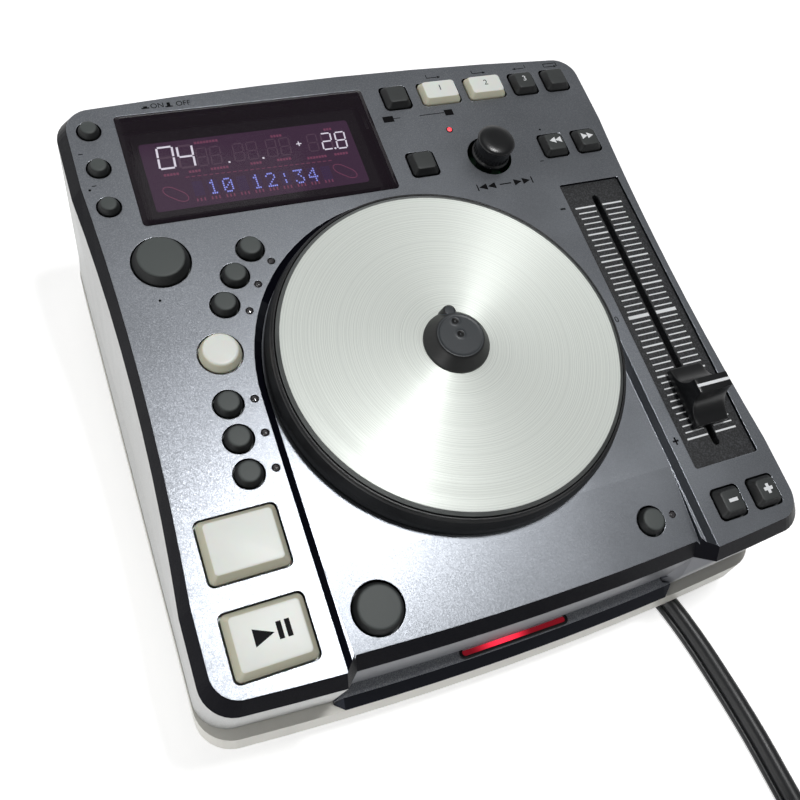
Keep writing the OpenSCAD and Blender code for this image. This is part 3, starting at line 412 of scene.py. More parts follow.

# %% [markdown]
# Rubber keys and the jog cap get the same treatment: their tops are grey, with patches that
# handling lightens, and their steep sides are drawn near black as painted shade. Their edges get a
# painted highlight.

# %% Fingered rubber
def fingered(name, top, side, rough, edge=0.3, low=0.75):
    """Grey where the surface lies like the deck; painted shade makes it black where it is steep,
    and a painted highlight lightens its edges.
    """
    tree, shader = finish(name, Roughness=rough)
    skin = use(tree, SKIN, Grain_Scale=2500, Relief=0.2, Edge_Radius=edge * MM)
    polish = use(tree, HANDLING)["Polish"]
    # Painted shade: steep faces take the dark side colour.
    on_top = remap(tree, faces_along(tree, DECK_UP), low, 0.99)
    mixed = blend(tree, on_top, srgb(*side), srgb(*top))
    worn = blend(tree, polish, mixed, srgb(*(c * 1.12 for c in top)))
    # Painted highlight: the edges are drawn far lighter than the top.
    light = srgb(*(min(255, c * 1.8) for c in top))
    feed(tree, shader, Normal=skin["Normal"],
         Base_Color=blend(tree, skin["Edge"], blend(tree, on_top, mixed, worn), light))


# The second colour of each is the painted shade on its sides.
fingered("key_grey", (70, 75, 74), (20, 22, 22), 0.55)
fingered("key_black", (50, 53, 53), (19, 20, 21), 0.5)
fingered("jog_rubber", (40, 45, 49), (5, 6, 7), 0.42, 0.4, 0.93)

# %% [markdown]
# ## Painted shade on the cover
# The cover is sprayed a blue-grey metallic. Its leaning edge and the walls of its recesses are the
# same paint, drawn darker as painted shade: what leans outwards from the middle of the case,
# forwards or to the right is near black, and any other steep wall is a plain dark grey.

# %% Deck paint
def metallic_paint(name, dark, light, rough, metallic, tilt=0.07):
    """A sparkling paint with a painted highlight on its edges; returns tree, shader and colour for
    further mixing.
    """
    tree, shader = finish(name, Metallic=metallic)
    flakes = use(tree, FLAKES, Flake_Scale=5000, Tilt=tilt, Edge_Radius=0.25 * MM)
    polish = use(tree, HANDLING, Patch_Scale=25)["Polish"]
    base = blend(tree, flakes["Sparkle"], srgb(*dark), srgb(*light))
    # Painted highlight: edges, where the rounding turns the normal, are drawn lighter, as if they
    # caught the light.
    base = blend(tree, flakes["Edge"], base, srgb(*(min(255, c * 1.3) for c in light)))
    feed(tree, shader, Normal=flakes["Normal"], Base_Color=base,
         Roughness=remap(tree, polish, 0.3, 0.7, rough * 0.9, rough * 1.1))
    return tree, shader, base


PAINT_METAL = 1.0
tree, shader, paint = metallic_paint("deck_paint", (140, 144, 150), (168, 172, 179), 0.36,
                                     PAINT_METAL)
surface = node(tree, "ShaderNodeNewGeometry").outputs
from_middle = vectors(tree, "NORMALIZE", vectors(tree, "MULTIPLY", surface["Position"], (1, 1, 0)))
lean = separate(tree, surface["True Normal"])
outward = remap(tree, faces_along(tree, from_middle), 0.4, 0.46)
rightward = remap(tree, lean["X"], 0.25, 0.5)
forward = remap(tree, lean["Y"], -0.32, -0.42)
# Painted shade: the same paint is drawn near black where it leans outwards, forwards or to the
# right.
dark = maths(tree, "MAXIMUM", maths(tree, "MAXIMUM", outward, rightward), forward)
painted_shade_navy = blend(tree, use(tree, HANDLING)["Polish"], srgb(8, 8, 15), srgb(13, 14, 22))
# Painted shade: every other steep wall is drawn a plain dark grey.
steep = remap(tree, faces_along(tree, DECK_UP), 0.95, 0.85)
paint = blend(tree, steep, paint, srgb(64, 67, 72))
feed(tree, shader, Base_Color=blend(tree, dark, paint, painted_shade_navy),
     Specular_IOR_Level=remap(tree, dark, 0, 1, 0.5, 0.06),
     Metallic=remap(tree, dark, 0, 1, PAINT_METAL, 0.0))

# %% [markdown]
# The fascia below the disc slot wears the same paint on its ledge, and its leaning face is dark.
# The silver case is drawn a darker grey in two patches where it lies in shade, behind the fascia
# and at the front right; that grey is painted shade.

# %% Fascia and case
tree, shader, paint = metallic_paint("fascia_dark", (128, 131, 138), (180, 184, 190), 0.38, 0.9)
leaning = remap(tree, faces_along(tree, (0, 0, 1)), 0.9, 0.8)
feed(tree, shader, Base_Color=blend(tree, leaning, paint, srgb(44, 46, 53)))
tree, shader, paint = metallic_paint("case_silver", (176, 177, 176), (198, 199, 199), 0.4, 0.5,
                                     tilt=0.04)
# Painted shade: two patches of the case, behind the fascia and at the front right, turn a darker
# grey.
spot = separate(tree, on_piece(tree))
aside = maths(tree, "ABSOLUTE", spot["X"])
shade_behind_fascia = maths(tree, "MULTIPLY", remap(tree, aside, 0.0655, 0.0665, 1, 0),
                      remap(tree, spot["Y"], -0.09, -0.085, 1, 0))
shade_front_right = maths(tree, "MULTIPLY", remap(tree, spot["X"], 0.066, 0.067),
                    remap(tree, spot["Y"], -0.085, -0.095))
paint = blend(tree, shade_behind_fascia, paint, srgb(112, 114, 120))
feed(tree, shader, Base_Color=blend(tree, shade_front_right, paint, srgb(112, 114, 118)))

# %% [markdown]
# ## The fader's plate
# The plate is a coarser black than the keys: a crinkled lacquer with tiny grey points.

# %% Crinkled lacquer
tree, shader = finish("plate_black", Roughness=0.55)
crinkle = noise(tree, 1600.0, 4.0)
bump = node(tree, "ShaderNodeBump", {"Height": crinkle, "Strength": 0.5, "Distance": 0.2 * MM})
feed(tree, shader, Normal=bump.outputs[0], Base_Color=blend(
    tree, remap(tree, crinkle, 0.45, 0.75), srgb(22, 23, 25), srgb(70, 72, 76)))

# %% [markdown]
# ## Brushed metal for the jog plate
# The plate is turned on a lathe, so its scratches run in circles. Light spreads across them and
# hardly along them, which draws bright rays from the middle. The shader does this with its
# anisotropy, if the tangent follows the circles; the fine rings vary roughness and tone. A small
# share of a second, glossier shader sharpens the rays.

# %% Jog metal
JOG_AT, PLATE_TOP = (0, 89.5), 9.5
ACROSS_TANGENT, GLOSSY_SHARE = 0.25, 0.09
tree, shader = finish("jog_metal", Metallic=0.4, Anisotropic=0.5,
                      Anisotropic_Rotation=ACROSS_TANGENT)
jog_centre = DECK @ Vector((*JOG_AT, PLATE_TOP))
level = node(tree, "ShaderNodeMapping", {
    "Vector": on_piece(tree), "Location": -(Matrix.Rotation(-TILT, 3, "X") @ jog_centre),
    "Rotation": (-TILT, 0, 0)}, vector_type="POINT").outputs[0]
flat = vectors(tree, "MULTIPLY", level, (1, 1, 0))
from_centre = vectors(tree, "LENGTH", flat)
around = vectors(tree, "CROSS_PRODUCT", flat, (0, 0, 1))
tangent = node(tree, "ShaderNodeMapping", {"Vector": around, "Rotation": (TILT, 0, 0)},
               vector_type="VECTOR").outputs[0]
along = vectors(tree, "NORMALIZE", tangent)
fine, broad = (node(tree, "ShaderNodeTexNoise", {
    "W": from_centre, "Scale": scale, "Detail": detail}, noise_dimensions="1D").outputs[0]
    for scale, detail in ((3800, 3), (260, 2)))
metal_tone = blend(tree, remap(tree, fine, 0.3, 0.7), srgb(202, 207, 202), srgb(236, 241, 235))
feed(tree, shader, Base_Color=metal_tone, Tangent=along,
     Roughness=remap(tree, broad, 0.3, 0.7, 0.5, 0.54))
glossy = node(tree, "ShaderNodeBsdfPrincipled", {
    "Metallic": 1.0, "Anisotropic": 0.95, "Anisotropic Rotation": ACROSS_TANGENT,
    "Roughness": 0.3, "Base Color": metal_tone, "Tangent": along})
mixed = node(tree, "ShaderNodeMixShader", {0: GLOSSY_SHARE, 1: shader.outputs[0],
                                           2: glossy.outputs[0]})
feed(tree, tree.nodes["Material Output"], Surface=mixed.outputs[0])

# %% [markdown]
# ## Lamps and glass
# The lens is a dark plum acrylic: part of what lies under it shows through. The lamps are small
# clear domes; only one of them burns. The light bar under the front edge is brightest in its
# middle and fades to a dark red at both ends.

# %% Lens
tree, shader = finish("lens_tint", Roughness=0.12, IOR=1.49, Base_Color=srgb(38, 29, 38))
behind = node(tree, "ShaderNodeNewGeometry").outputs["Backfacing"]
feed(tree, shader, Alpha=maths(tree, "MULTIPLY", 0.6, maths(tree, "SUBTRACT", 1.0, behind)),
     Roughness=remap(tree, use(tree, HANDLING)["Dust"], 0, 1, 0.07, 0.2))

# %% Burning lamps and light bar
UNLIT = (0, 0, 0, 1)


def glowing(name, colour, strength, base=(20, 18, 24), fade=None):
    """A lit surface, even or faded by a mask made in its own tree."""
    tree, shader = finish(name, Roughness=0.4, Emission_Strength=strength,
                          Base_Color=srgb(*base))
    tone = remap(tree, use(tree, HANDLING, Patch_Scale=900)["Polish"], 0.2, 0.8, 0.85, 1.0)
    lit = blend(tree, tone, UNLIT, srgb(*colour))
    feed(tree, shader, Emission_Color=blend(tree, fade(tree), UNLIT, lit) if fade else lit)


def bar_fade(tree):
    """Bright round the middle of the bar and dark towards both ends."""
    across = separate(tree, on_piece(tree))["X"]
    rise = remap(tree, across, -0.017, -0.004, 0.12, 1.0, "SMOOTHSTEP")
    fall = remap(tree, across, -0.003, 0.007, 1.0, 0.12, "SMOOTHSTEP")
    return maths(tree, "MULTIPLY", rise, fall)


glowing("digit_lit", (232, 226, 240), 2.2)
glowing("digit_dim", (150, 116, 144), 0.6)
glowing("dot_lit", (150, 160, 255), 2.2)
glowing("dot_dim", (104, 78, 140), 0.6)
glowing("label_dim", (186, 104, 142), 0.8)
glowing("glass_glow", (84, 54, 84), 1.0, (30, 22, 32))
glowing("light_red", (255, 48, 72), 1.6, (70, 12, 20), bar_fade)
glowing("led_burning", (255, 70, 80), 2.0, (60, 10, 14))

# %% [markdown]
# ## The mains cord
# A mains cord is round, as thick as a pencil, and stiff, so it can't turn a sharp corner. It
# leaves its grommet at the back, drops in a loop to the table, runs forward under the case and
# comes out at the front right. A thin second lead lies against it all the way. The rest of its
# length is put away in a coil, wound two turns wide and two high. The cord is one tube: a cross
# section, drawn once, that is carried along a smooth line of points.

# %% Route of the cord
CORD_ROUTE = [
    (70, 237, 36), (70, 241, 36), (68.8, 250.3, 35), (65.2, 259, 31.5), (59.5, 266.5, 25.8),
    (52, 272.2, 19), (43.3, 275.8, 12.8), (34, 277, 8), (24.7, 275.8, 5.3), (16, 272.2, 4.2),
    (8.5, 266.5, 4), (2.8, 259, 4), (-0.8, 250.3, 4), (-2, 241, 4), (-2.2, 228, 4),
    (-0.5, 214, 4), (3.5, 200, 4), (9, 184, 4), (15, 166, 4), (21.3, 147, 4), (27.6, 128, 4),
    (33.9, 109, 4), (40.3, 90, 4), (46.8, 71, 4), (53.4, 52, 4), (60.3, 34, 4), (67.3, 18, 4),
    (72.7, 3.5, 4), (76, -14, 4), (77.9, -34, 4), (79, -54, 4), (79, -74, 4), (79.3, -90, 4),
    (80.4, -105, 4)]


def through(points, steps):
    """A Catmull-Rom line through the points."""
    p = [Vector(q) for q in [points[0]] + list(points) + [points[-1]]]
    out = []
    for a, b, c, d in zip(p, p[1:], p[2:], p[3:]):
        for i in range(steps):
            t = i / steps
            out.append(0.5 * (2 * b + (c - a) * t + (2 * a - 5 * b + 4 * c - d) * t * t
                              + (3 * b - a - 3 * c + d) * t ** 3))
    return out + [p[-2]]

# %% Coil and tail
COIL_AT, COIL_R, STRAND, TURNS = (30, -126), 48, 4.1, 3.25


def coil_point(t):
    """The cord after t turns: four strands as a square that rolls on once a turn."""
    whole, phase = divmod(t, 1)
    u = max(0, (phase - 0.7) / 0.3)
    u = u * u * (3 - 2 * u)
    roll = math.radians(-45 - 90 * (whole + u))
    reach = STRAND * math.sqrt(2)
    lift = reach * (math.cos((u - 0.5) * math.pi / 2) - math.cos(math.pi / 4))
    r = COIL_R + reach * math.cos(roll)
    z = 4.05 + STRAND + reach * math.sin(roll) + lift
    a = -2 * math.pi * t
    return (COIL_AT[0] + r * math.cos(a), COIL_AT[1] + r * math.sin(a), z)


PLUG_Y = COIL_AT[1] - COIL_R - STRAND
coil = [coil_point(i / 24) for i in range(int(TURNS * 24) + 1)]
tail = [(x, PLUG_Y, z) for x, z in ((20, 12.1), (12, 11.5), (4, 10.2), (-5, 9.2), (-12, 9))]
cord_line = [PLAN @ p for p in through(CORD_ROUTE + coil + tail, 3)]

# %% [markdown]
# The cross section is a large round core with a small round lead pressed against its lower
# side. Drawing both as one outline keeps the tube closed and gives the groove between them.

# %% Cross section of the cord
CORE_R, LEAD_R = 3.2, 1.15
LEAD_DOWN = CORE_R - LEAD_R
LEAD_OUT = math.sqrt((CORE_R + LEAD_R) ** 2 - LEAD_DOWN ** 2)
CORE_LEFT, CORE_DOWN = 0.55, 0.8
print("lead lies", round(LEAD_OUT, 2), "mm beside the core")


def cord_section():
    """The outline of core and lead, as (sideways, upwards) millimetres round the line."""
    meet = math.atan2(-LEAD_DOWN, LEAD_OUT)
    out = []
    for i in range(27):
        a = meet + math.radians(9 + i * (342 / 26))
        out.append((-CORE_LEFT + CORE_R * math.cos(a), -CORE_DOWN + CORE_R * math.sin(a)))
    for i in range(11):
        a = meet + math.pi + math.radians(24 + i * (312 / 10))
        out.append((-CORE_LEFT + LEAD_OUT + LEAD_R * math.cos(a),
                    -CORE_DOWN - LEAD_DOWN + LEAD_R * math.sin(a)))
    return out

# %% Cord tube
def sweep(line, section):
    """Carries a section, given for each point of the line, along it; both ends are closed."""
    points = []
    for i, p in enumerate(line):
        ahead = (line[min(i + 1, len(line) - 1)] - line[max(i - 1, 0)]).normalized()
        side = ahead.cross(Vector((0, 0, 1))).normalized()
        over = side.cross(ahead)
        points += [tuple(p + (side * x + over * y) * MM) for x, y in section(i / (len(line) - 1))]
    count = len(section(0))
    faces = [tuple(range(count - 1, -1, -1))]
    for a in range(0, len(points) - count, count):
        for i in range(count):
            j = (i + 1) % count
            faces.append((a + i, a + j, a + count + j, a + count + i))
    return points, faces + [tuple(range(len(points) - count, len(points)))]


SECTION = cord_section()
cord = piece("mains_cord_tube", sweep(cord_line, lambda t: SECTION), "cord_black", place=Matrix(),
             smooth=60, stands_for=("mains_cord", "cord_coil"))

# %% [markdown]
# The plug is a soft moulded body with finger ribs and two flat steel blades, and a tapered tail
# that saves the cord from kinking. The grommet at the back is the same idea, with rings.

# %% Plug and grommet
PLUG_X = -28


def plug_level(h, inset):
    """The plug's outline at a height, drawn in from its widest."""
    w, l, r = 34 - 2 * inset, 24 - 2 * inset, 4.2 - inset / 2
    return rounded_outline(w, l, r, (PLUG_X - 5, PLUG_Y)), h


def tail_ring(t):
    """The tail's section: wider towards the plug, with a rib at every other step."""
    r = 4.6 + 2.2 * t + (0.45 if int(t * 12) % 2 else 0)
    return [(r * math.cos(a), r * math.sin(a)) for a in np.linspace(0, 2 * math.pi, 25)[:-1]]


plug_ribs = [prism(box(PLUG_X - 12 + 4 * i, PLUG_Y - 12.4, PLUG_X - 10.2 + 4 * i, PLUG_Y + 12.4),
                   4, 14) for i in range(4)]
plug_body = stack([plug_level(*numbers) for numbers in (
    (18, 2.2), (17.4, 1), (16, 0.2), (14, 0), (4, 0), (2, 0.2), (0.6, 1), (0, 2.2))])
plug = piece("plug_moulding", join(plug_body, *plug_ribs), "plug_black", place=PLAN,
             stands_for=("mains_plug",))
tail_piece = piece("plug_tail", sweep(through(cord_line[-13:], 3), tail_ring), "plug_black",
                   place=Matrix(), smooth=50)
blades = [prism(rounded_outline(18.5, 1.5, 0.3, (PLUG_X - 30.7, PLUG_Y + y)), 5.9, 12.1)
          for y in (-6.35, 6.35)]
blade_piece = piece("plug_blades", join(*blades), "steel", place=PLAN)
rings = [(r + 0.24 * i, h - 3.4 * i) for i in range(7)
         for r, h in ((4.9, 27), (4.9, 25.4), (4.3, 25.1), (4.4, 23.9))]
relief_profile = [(0, 28.5)] + rounded_profile(
    [(4.1, 28.5), (4.7, 28.2)] + rings + [(8.5, 2.5), (8.5, 0.1), (6.9, 0.1), (6.9, -4)],
    [0.2] * 32) + [(0, -4)]
relief = piece("cord_grommet", revolve(relief_profile, segments=48), "plug_black",
               place=facing_back(70, 210, 36), stands_for=("strain_relief",))

# %% [markdown]
# ## Floor and light
# The player stands on a white table. A floor that is only lit would go grey, so its material
# adds a little of its own light for the camera and for reflections, and the shadows stay. The
# light itself is plain: a sky that is dark overhead and pale towards the back left like a wall,
# two weak panels, and one softbox overhead. The softbox is what turns the paint at the front
# left to white, because there the deck mirrors it into the camera.

# %% Floor
FLOOR_GLOW, WHITE = 0.62, (1, 1, 1, 1)
tree, shader = finish("floor_white", Base_Color=(0.86, 0.86, 0.855, 1), Roughness=0.9,
                      Emission_Color=WHITE)
paths = node(tree, "ShaderNodeLightPath").outputs
seen = maths(tree, "MAXIMUM", paths["Is Camera Ray"], maths(
    tree, "MAXIMUM", paths["Is Glossy Ray"], paths["Is Transmission Ray"]))
distance = vectors(tree, "LENGTH", on_piece(tree))
feed(tree, shader, Emission_Strength=maths(
    tree, "MULTIPLY", seen, remap(tree, distance, 0.7, 2.2, FLOOR_GLOW, 1.0)))
floor_mesh = bpy.data.meshes.new("floor")
floor_mesh.from_pydata([(x, y, 0) for x, y in box(-6, -6, 6, 6)], [], [(0, 1, 2, 3)])
floor_mesh.materials.append(FINISH["floor_white"])
floor = bpy.data.objects.new("floor", floor_mesh)
SCENE.collection.objects.link(floor)

# %% Sky
WALL, SHADE, ZENITH = 1.1, 0.25, 0.14
world = bpy.data.worlds.new("studio")
SCENE.world = world
world.use_nodes = True
tree = world.node_tree
direction = node(tree, "ShaderNodeTexCoord").outputs["Generated"]
side = vectors(tree, "DOT_PRODUCT", direction, (-0.6, 0.8, 0))
horizon = remap(tree, side, -0.5, 0.6, SHADE, WALL, "SMOOTHSTEP")
sky = remap(tree, separate(tree, direction)["Z"], 0.25, 0.8, horizon, ZENITH, "SMOOTHSTEP")
camera_ray = node(tree, "ShaderNodeLightPath").outputs["Is Camera Ray"]
feed(tree, tree.nodes["Background"], Strength=remap(tree, camera_ray, 0, 1, sky, 1.0))
tree.nodes["Background"].inputs["Color"].default_value = WHITE
print("sky from", ZENITH, "overhead to", WALL, "at the wall")

# %% Softboxes
def softbox(name, place, aim, size, watts):
    """A rectangular area lamp that points at a spot."""
    lamp = bpy.data.lights.new(name, "AREA")
    lamp.shape = "RECTANGLE"
    lamp.size, lamp.size_y = size
    lamp.energy = watts
    made = bpy.data.objects.new(name, lamp)
    made.location = place
    made.rotation_euler = (Vector(aim) - Vector(place)).to_track_quat("-Z", "Y").to_euler()
    SCENE.collection.objects.link(made)
    print("softbox", name, watts, "W")


softbox("overhead", (0.15, -0.08, 1.04), (-0.05, -0.08, 0.06), (0.16, 0.12), 4.7)
softbox("behind", (0.06, 0.49, 1.28), (0, 0.02, 0.08), (0.5, 0.45), 0.4)
softbox("left", (-0.42, -0.3, 0.16), (-0.1, -0.08, 0.03), (0.2, 0.16), 0.3)

# %% [markdown]
# ## Finishes for the parts that keep their mesh
# The case, the boards, the drive and other parts are already right in form. Each gets its
# finish by name.

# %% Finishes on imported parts
KEPT = {
    "tray_grey": "base_tray", "case_silver": "side_case", "deck_paint": "top_cover",
    "fascia_dark": "front_fascia", "light_red": "light_bar", "lens_tint": "display_lens",
    "inner_black": "display_module spindle_hub pickup_sled", "plate_black": "fader_plate",
    "steel": "fader_track spindle_motor encoder_shaft fader_carriage jog_shaft",
    "board_green": "main_board control_boards", "transformer_iron": "power_supply",
    "panel_black": "rear_panel", "jack_gold": "rear_jacks", "led_red": "indicator_leds",
    "foot_rubber": "rubber_feet feed_roller", "bearing_brass": "jog_bearing",
    "chassis_steel": "mech_chassis", "key_black": "power_button"}
for finish_name, parts in KEPT.items():
    for part in parts.split():
        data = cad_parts[part].data
        data.materials.clear()
        data.materials.append(FINISH[finish_name])
print(sum(len(parts.split()) for parts in KEPT.values()), "packed parts finished")

# %% [markdown]
# A dark frame lies round the light bar. It is a flat ring: an outer outline and an inner one
# with the same number of corners.

# %% Frame of the light bar
def ring_prism(outer, inner, low, high):
    """A flat ring between two outlines of equal length."""
    count = len(outer)
    points = [(x, y, n) for line, n in ((outer, high), (inner, high), (inner, low), (outer, low))
              for x, y in line]
    faces = []
    for i in range(count):
        j = (i + 1) % count
        for a in range(4):
            b = (a + 1) % 4
            faces.append((a * count + i, a * count + j, b * count + j, b * count + i))
    return points, faces


piece("light_bar_frame", ring_prism(rounded_outline(42, 4.0, 1.95, (0, 3)),
                                    rounded_outline(40, 2.2, 1.05, (0, 3)), 22.4, 24.75),
      "inner_black", place=PLAN)

# %% [markdown]
# ## Round keys
# A round key is a cap with a flat top, a rounded edge, cone sides, a flange that stops it under
# the deck, and a stem that presses its switch. All of them are one profile with other numbers.

# %% Round keys
DECK_UNDER, STEM_END, FLANGE = -3.3, -8, 1.2
GAP, WELL_GAP, LIP = 0.55, 0.9, 0.7


def round_key_shape(at, opening, top_d, rise, floor=0.0, under=DECK_UNDER, stem=STEM_END):
    """The revolved shape of a round key; floor is the height of the deck round it."""
    base, body, flange = opening / 2 - GAP, opening / 2 - WELL_GAP, opening / 2 + LIP
    profile = rounded_profile(
        [(0, rise + floor), (top_d / 2, rise + floor), (base, 0.2 + floor),
         (body, under + 0.6), (body, under), (flange, under),
         (flange, under - FLANGE), (2, under - FLANGE), (2, stem), (0, stem)],
        [0.9, 0.5, 0.1, 0, 0.1, 0.1, 0, 0.1])
    return revolve(profile, at, 72)


# After a key's place come its opening, its top's diameter and its rise above the deck.
RECESS_FLOOR = -2.9
IN_RECESS = (RECESS_FLOOR, -7.3, -9.2)
TINY, SMALL = (8.5, 5.6, 2.4), (10.2, 7.2, 2.8)
ROUND_KEYS = {
    "title": ((-96.3, 201.9), *TINY), "memo": ((-96.3, 185.7), *TINY),
    "time": ((-96.3, 169.5), *TINY), "tap": ((-84.7, 145), 20, 15.6, 3.4),
    "echo": ((-54.6, 144.2), *SMALL), "flanger": ((-62.4, 134.9), *SMALL),
    "filter": ((-68.6, 124.7), *SMALL), "disc_mode": ((-74.7, 107.5), 15, 11.4, 3.4),
    "drag": ((-76.9, 89.6), *SMALL), "brake": ((-76.9, 77.5), *SMALL),
    "reverse": ((-76.9, 65.6), *SMALL), "eject": ((-51, 15.6), 17, 13.8, 2.6, *IN_RECESS),
    "pitch": ((47.9, 15.7), 10.7, 7.8, 2.6, *IN_RECESS)}
MILKY = ("disc_mode", "cue", "play", "hot_1", "hot_2")


def key_caps(keys, shape, dark, smooth):
    """Makes the caps of a table of keys, milky ones or dark ones."""
    for name, numbers in keys.items():
        piece(name + "_key_cap", shape(*numbers), "key_ivory" if name in MILKY else dark,
              name + "_key", smooth=smooth, stands_for=(name + "_key",))


key_caps(ROUND_KEYS, round_key_shape, "key_grey", 32)

# %% [markdown]
# ## Block keys
# The square and wide keys are blocks with a small raised top and leaning sides. A stack of
# rounded outlines gives them, and closely set outlines near the top round the edge.

# %% Block keys
BLOCK_GAP, BLOCK_LIP = 1.3, 2.7


def block_key_shape(at, w, l, top_in, rise):
    """The stacked shape of a rectangular key for an opening, with its flange and stem."""
    w, l = w - BLOCK_GAP, l - BLOCK_GAP

    def level(inset, n):
        return rounded_outline(w - 2 * inset, l - 2 * inset, 1.8 - 0.5 * inset / top_in, at), n

    levels = [level(top_in + 0.55, rise), level(top_in + 0.25, rise - 0.05),
              level(top_in + 0.08, rise - 0.18), level(top_in - 0.02, rise - 0.4),
              level(0.08, 0.35), level(0, 0), level(0, DECK_UNDER)]
    low = DECK_UNDER - FLANGE
    flange = [(rounded_outline(w + BLOCK_LIP, l + BLOCK_LIP, 2, at), n) for n in (DECK_UNDER, low)]
    stem = [(rounded_outline(4, 4, 1.9, at), n) for n in (low, STEM_END)]
    return stack(levels + flange + stem)


# After a key's place come its opening's width and length, how far its top is drawn in, and its
# rise above the deck.
TOP, BIG_TOP = 2.6, 3.6
SQUARE, WIDE, BIG = (11.8, 11.8, 1.35, TOP), (17.4, 11.8, 1.1, TOP), (25.8, 20.8, 1.7, BIG_TOP)
BLOCK_KEYS = {
    "cue": ((-84.5, 45), *BIG), "play": ((-84.5, 16.8), *BIG),
    "bend_minus": ((77.6, 13.4), *SQUARE), "bend_plus": ((92.8, 13.4), *SQUARE),
    "jump_back": ((77, 168.7), *SQUARE), "jump_forward": ((92.4, 168.7), *SQUARE),
    "next_track": ((19.6, 168.7), *SQUARE), "flip": ((19.9, 201.1), *SQUARE),
    "hot_1": ((38.6, 201.1), *WIDE), "hot_2": ((59, 201.1), *WIDE),
    "b": ((76.9, 200.9), *SQUARE), "exit": ((91.9, 200.9), *SQUARE)}
key_caps(BLOCK_KEYS, block_key_shape, "key_black", 28)

# %% [markdown]
# ## Marks on the keys
# The marks are printed: a film that stands a few hundredths of a millimetre above the cap. Each
# one rides on its key, so it goes down with it.

# %% Signs on the keys
FILM, PRINT_LOW, PRINT_HIGH = 0.04, -0.02, 0.03


def wedge(x, y, w, h):
    """A triangle that points right, or left for a negative width, round its middle."""
    tip, back = x + w / 2, x - w / 2
    corners = [(back, y - h / 2), (tip, y), (back, y + h / 2)]
    return corners if w > 0 else corners[::-1]


def printed(name, outlines, body="console", ink="print_black", low=PRINT_LOW, high=PRINT_HIGH):
    """A printed film of some outlines, on the deck or between two heights."""
    return piece(name, join(*[prism(o, low, high) for o in outlines]), ink, body, smooth=20)


def mark(key, outlines, ink="print_white", top=TOP):
    """A film on the top of a key."""
    printed(key + "_mark", outlines, key + "_key", ink, top - FILM, top + FILM)


mark("play", [wedge(-86.3, 17.2, 6, 5.2), box(-82.4, 14.8, -80.9, 19.9),
              box(-79.9, 14.8, -78.4, 19.9)], "print_black", BIG_TOP)
mark("bend_minus", [box(76, 12.9, 79.6, 14.1)])
mark("bend_plus", [box(91.2, 13, 94.8, 14.2), box(92.4, 14.2, 93.6, 15.4),
                   box(92.4, 11.8, 93.6, 13)])
mark("jump_back", [wedge(x, 169.3, -2.7, 2.9) for x in (75.9, 78.5)])
mark("jump_forward", [wedge(x, 169.3, 2.7, 2.9) for x in (90.9, 93.5)])

# %% Figures on the keys
def shape_of(mesh):
    """The points and faces of a mesh that is then thrown away."""
    shape = ([tuple(v.co) for v in mesh.vertices], [tuple(p.vertices) for p in mesh.polygons])
    bpy.data.meshes.remove(mesh)
    return shape


def figures(text, size, at, low=PRINT_LOW, high=PRINT_HIGH, turn=0.0):
    """Plain figures from the built-in typeface as a thin solid shape, centred on a place."""
    curve = bpy.data.curves.new("figures", "FONT")
    curve.body, curve.size, curve.extrude = text, size, (high - low) / 2
    curve.align_x, curve.align_y, curve.resolution_u = "CENTER", "CENTER", 4
    holder = bpy.data.objects.new("figures", curve)
    points, faces = shape_of(bpy.data.meshes.new_from_object(holder))
    bpy.data.objects.remove(holder)
    place = Matrix.Translation((*at, (low + high) / 2)) @ Matrix.Rotation(turn, 4, "Z")
    return [tuple(place @ Vector(p)) for p in points], faces


for name, text, at, ink in (("hot_1", "1", (38.6, 201.6), "print_black"),
                            ("hot_2", "2", (59, 201.6), "print_black"),
                            ("b", "3", (76.9, 201.4), "print_white")):
    piece(name + "_figure", figures(text, 3.6, at, TOP - FILM, TOP + FILM), ink, name + "_key",
          smooth=20)

# %% [markdown]
# ## The jog wheel
# The wheel is a black moulding with a sloping skirt. On it lies the turned plate with a dull
# bevelled rim, and in the middle sits a rubber cap with a finger nub and two small dimples.

# %% Wheel skirt and rim
RIM = 8.0
wheel_profile = rounded_profile(
    [(3, RIM), (60.2, RIM), (60.5, 8.7), (61.1, 8.7), (61.4, 7.9), (61.75, 7.6), (62.9, 3.4),
     (63, 2.2), (63, -0.3), (61, -0.3), (58, RIM - 2.4), (11.5, RIM - 2.4), (11.5, 3.6), (3, 3.6)],
    [0, 0.1, 0.2, 0.2, 0.15, 0.3, 0.5, 0.3, 0.2, 0.2, 0.2, 0.2])
wheel_profile.append(wheel_profile[0])
piece("jog_wheel_skirt", revolve(wheel_profile, JOG_AT, 192), "jog_black", "jog",
      stands_for=("jog_wheel",))

# %% [markdown]
# The plate is a case for Geometry Nodes: its form follows one rule. A grid is wrapped into
# rings, and each ring's height comes from a wave, which cuts real grooves into the metal.

# %% Trees that grow pieces
def geometry_tree(name, **inputs):
    """A geometry node tree with number inputs and a Material; underscores stand for spaces."""
    tree = bpy.data.node_groups.new(name, "GeometryNodeTree")
    tree.interface.new_socket("Geometry", in_out="OUTPUT", socket_type="NodeSocketGeometry")
    for label, default in inputs.items():
        kind = "NodeSocketInt" if isinstance(default, int) else "NodeSocketFloat"
        socket = tree.interface.new_socket(label.replace("_", " "), in_out="INPUT",
                                           socket_type=kind)
        socket.default_value = default
    tree.interface.new_socket("Material", in_out="INPUT", socket_type="NodeSocketMaterial")
    return tree, node(tree, "NodeGroupInput").outputs


def end_tree(tree, given, result):
    """Ends a tree with real geometry in its finish, because the export drops instances."""
    real = node(tree, "GeometryNodeRealizeInstances", {0: result}).outputs[0]
    painted = node(tree, "GeometryNodeSetMaterial", {
        "Geometry": real, "Material": given["Material"]})
    node(tree, "NodeGroupOutput", {0: painted.outputs[0]})


def combine(tree, x=0.0, y=0.0, z=0.0):
    """A vector from its three numbers."""
    return node(tree, "ShaderNodeCombineXYZ", {0: x, 1: y, 2: z}).outputs[0]


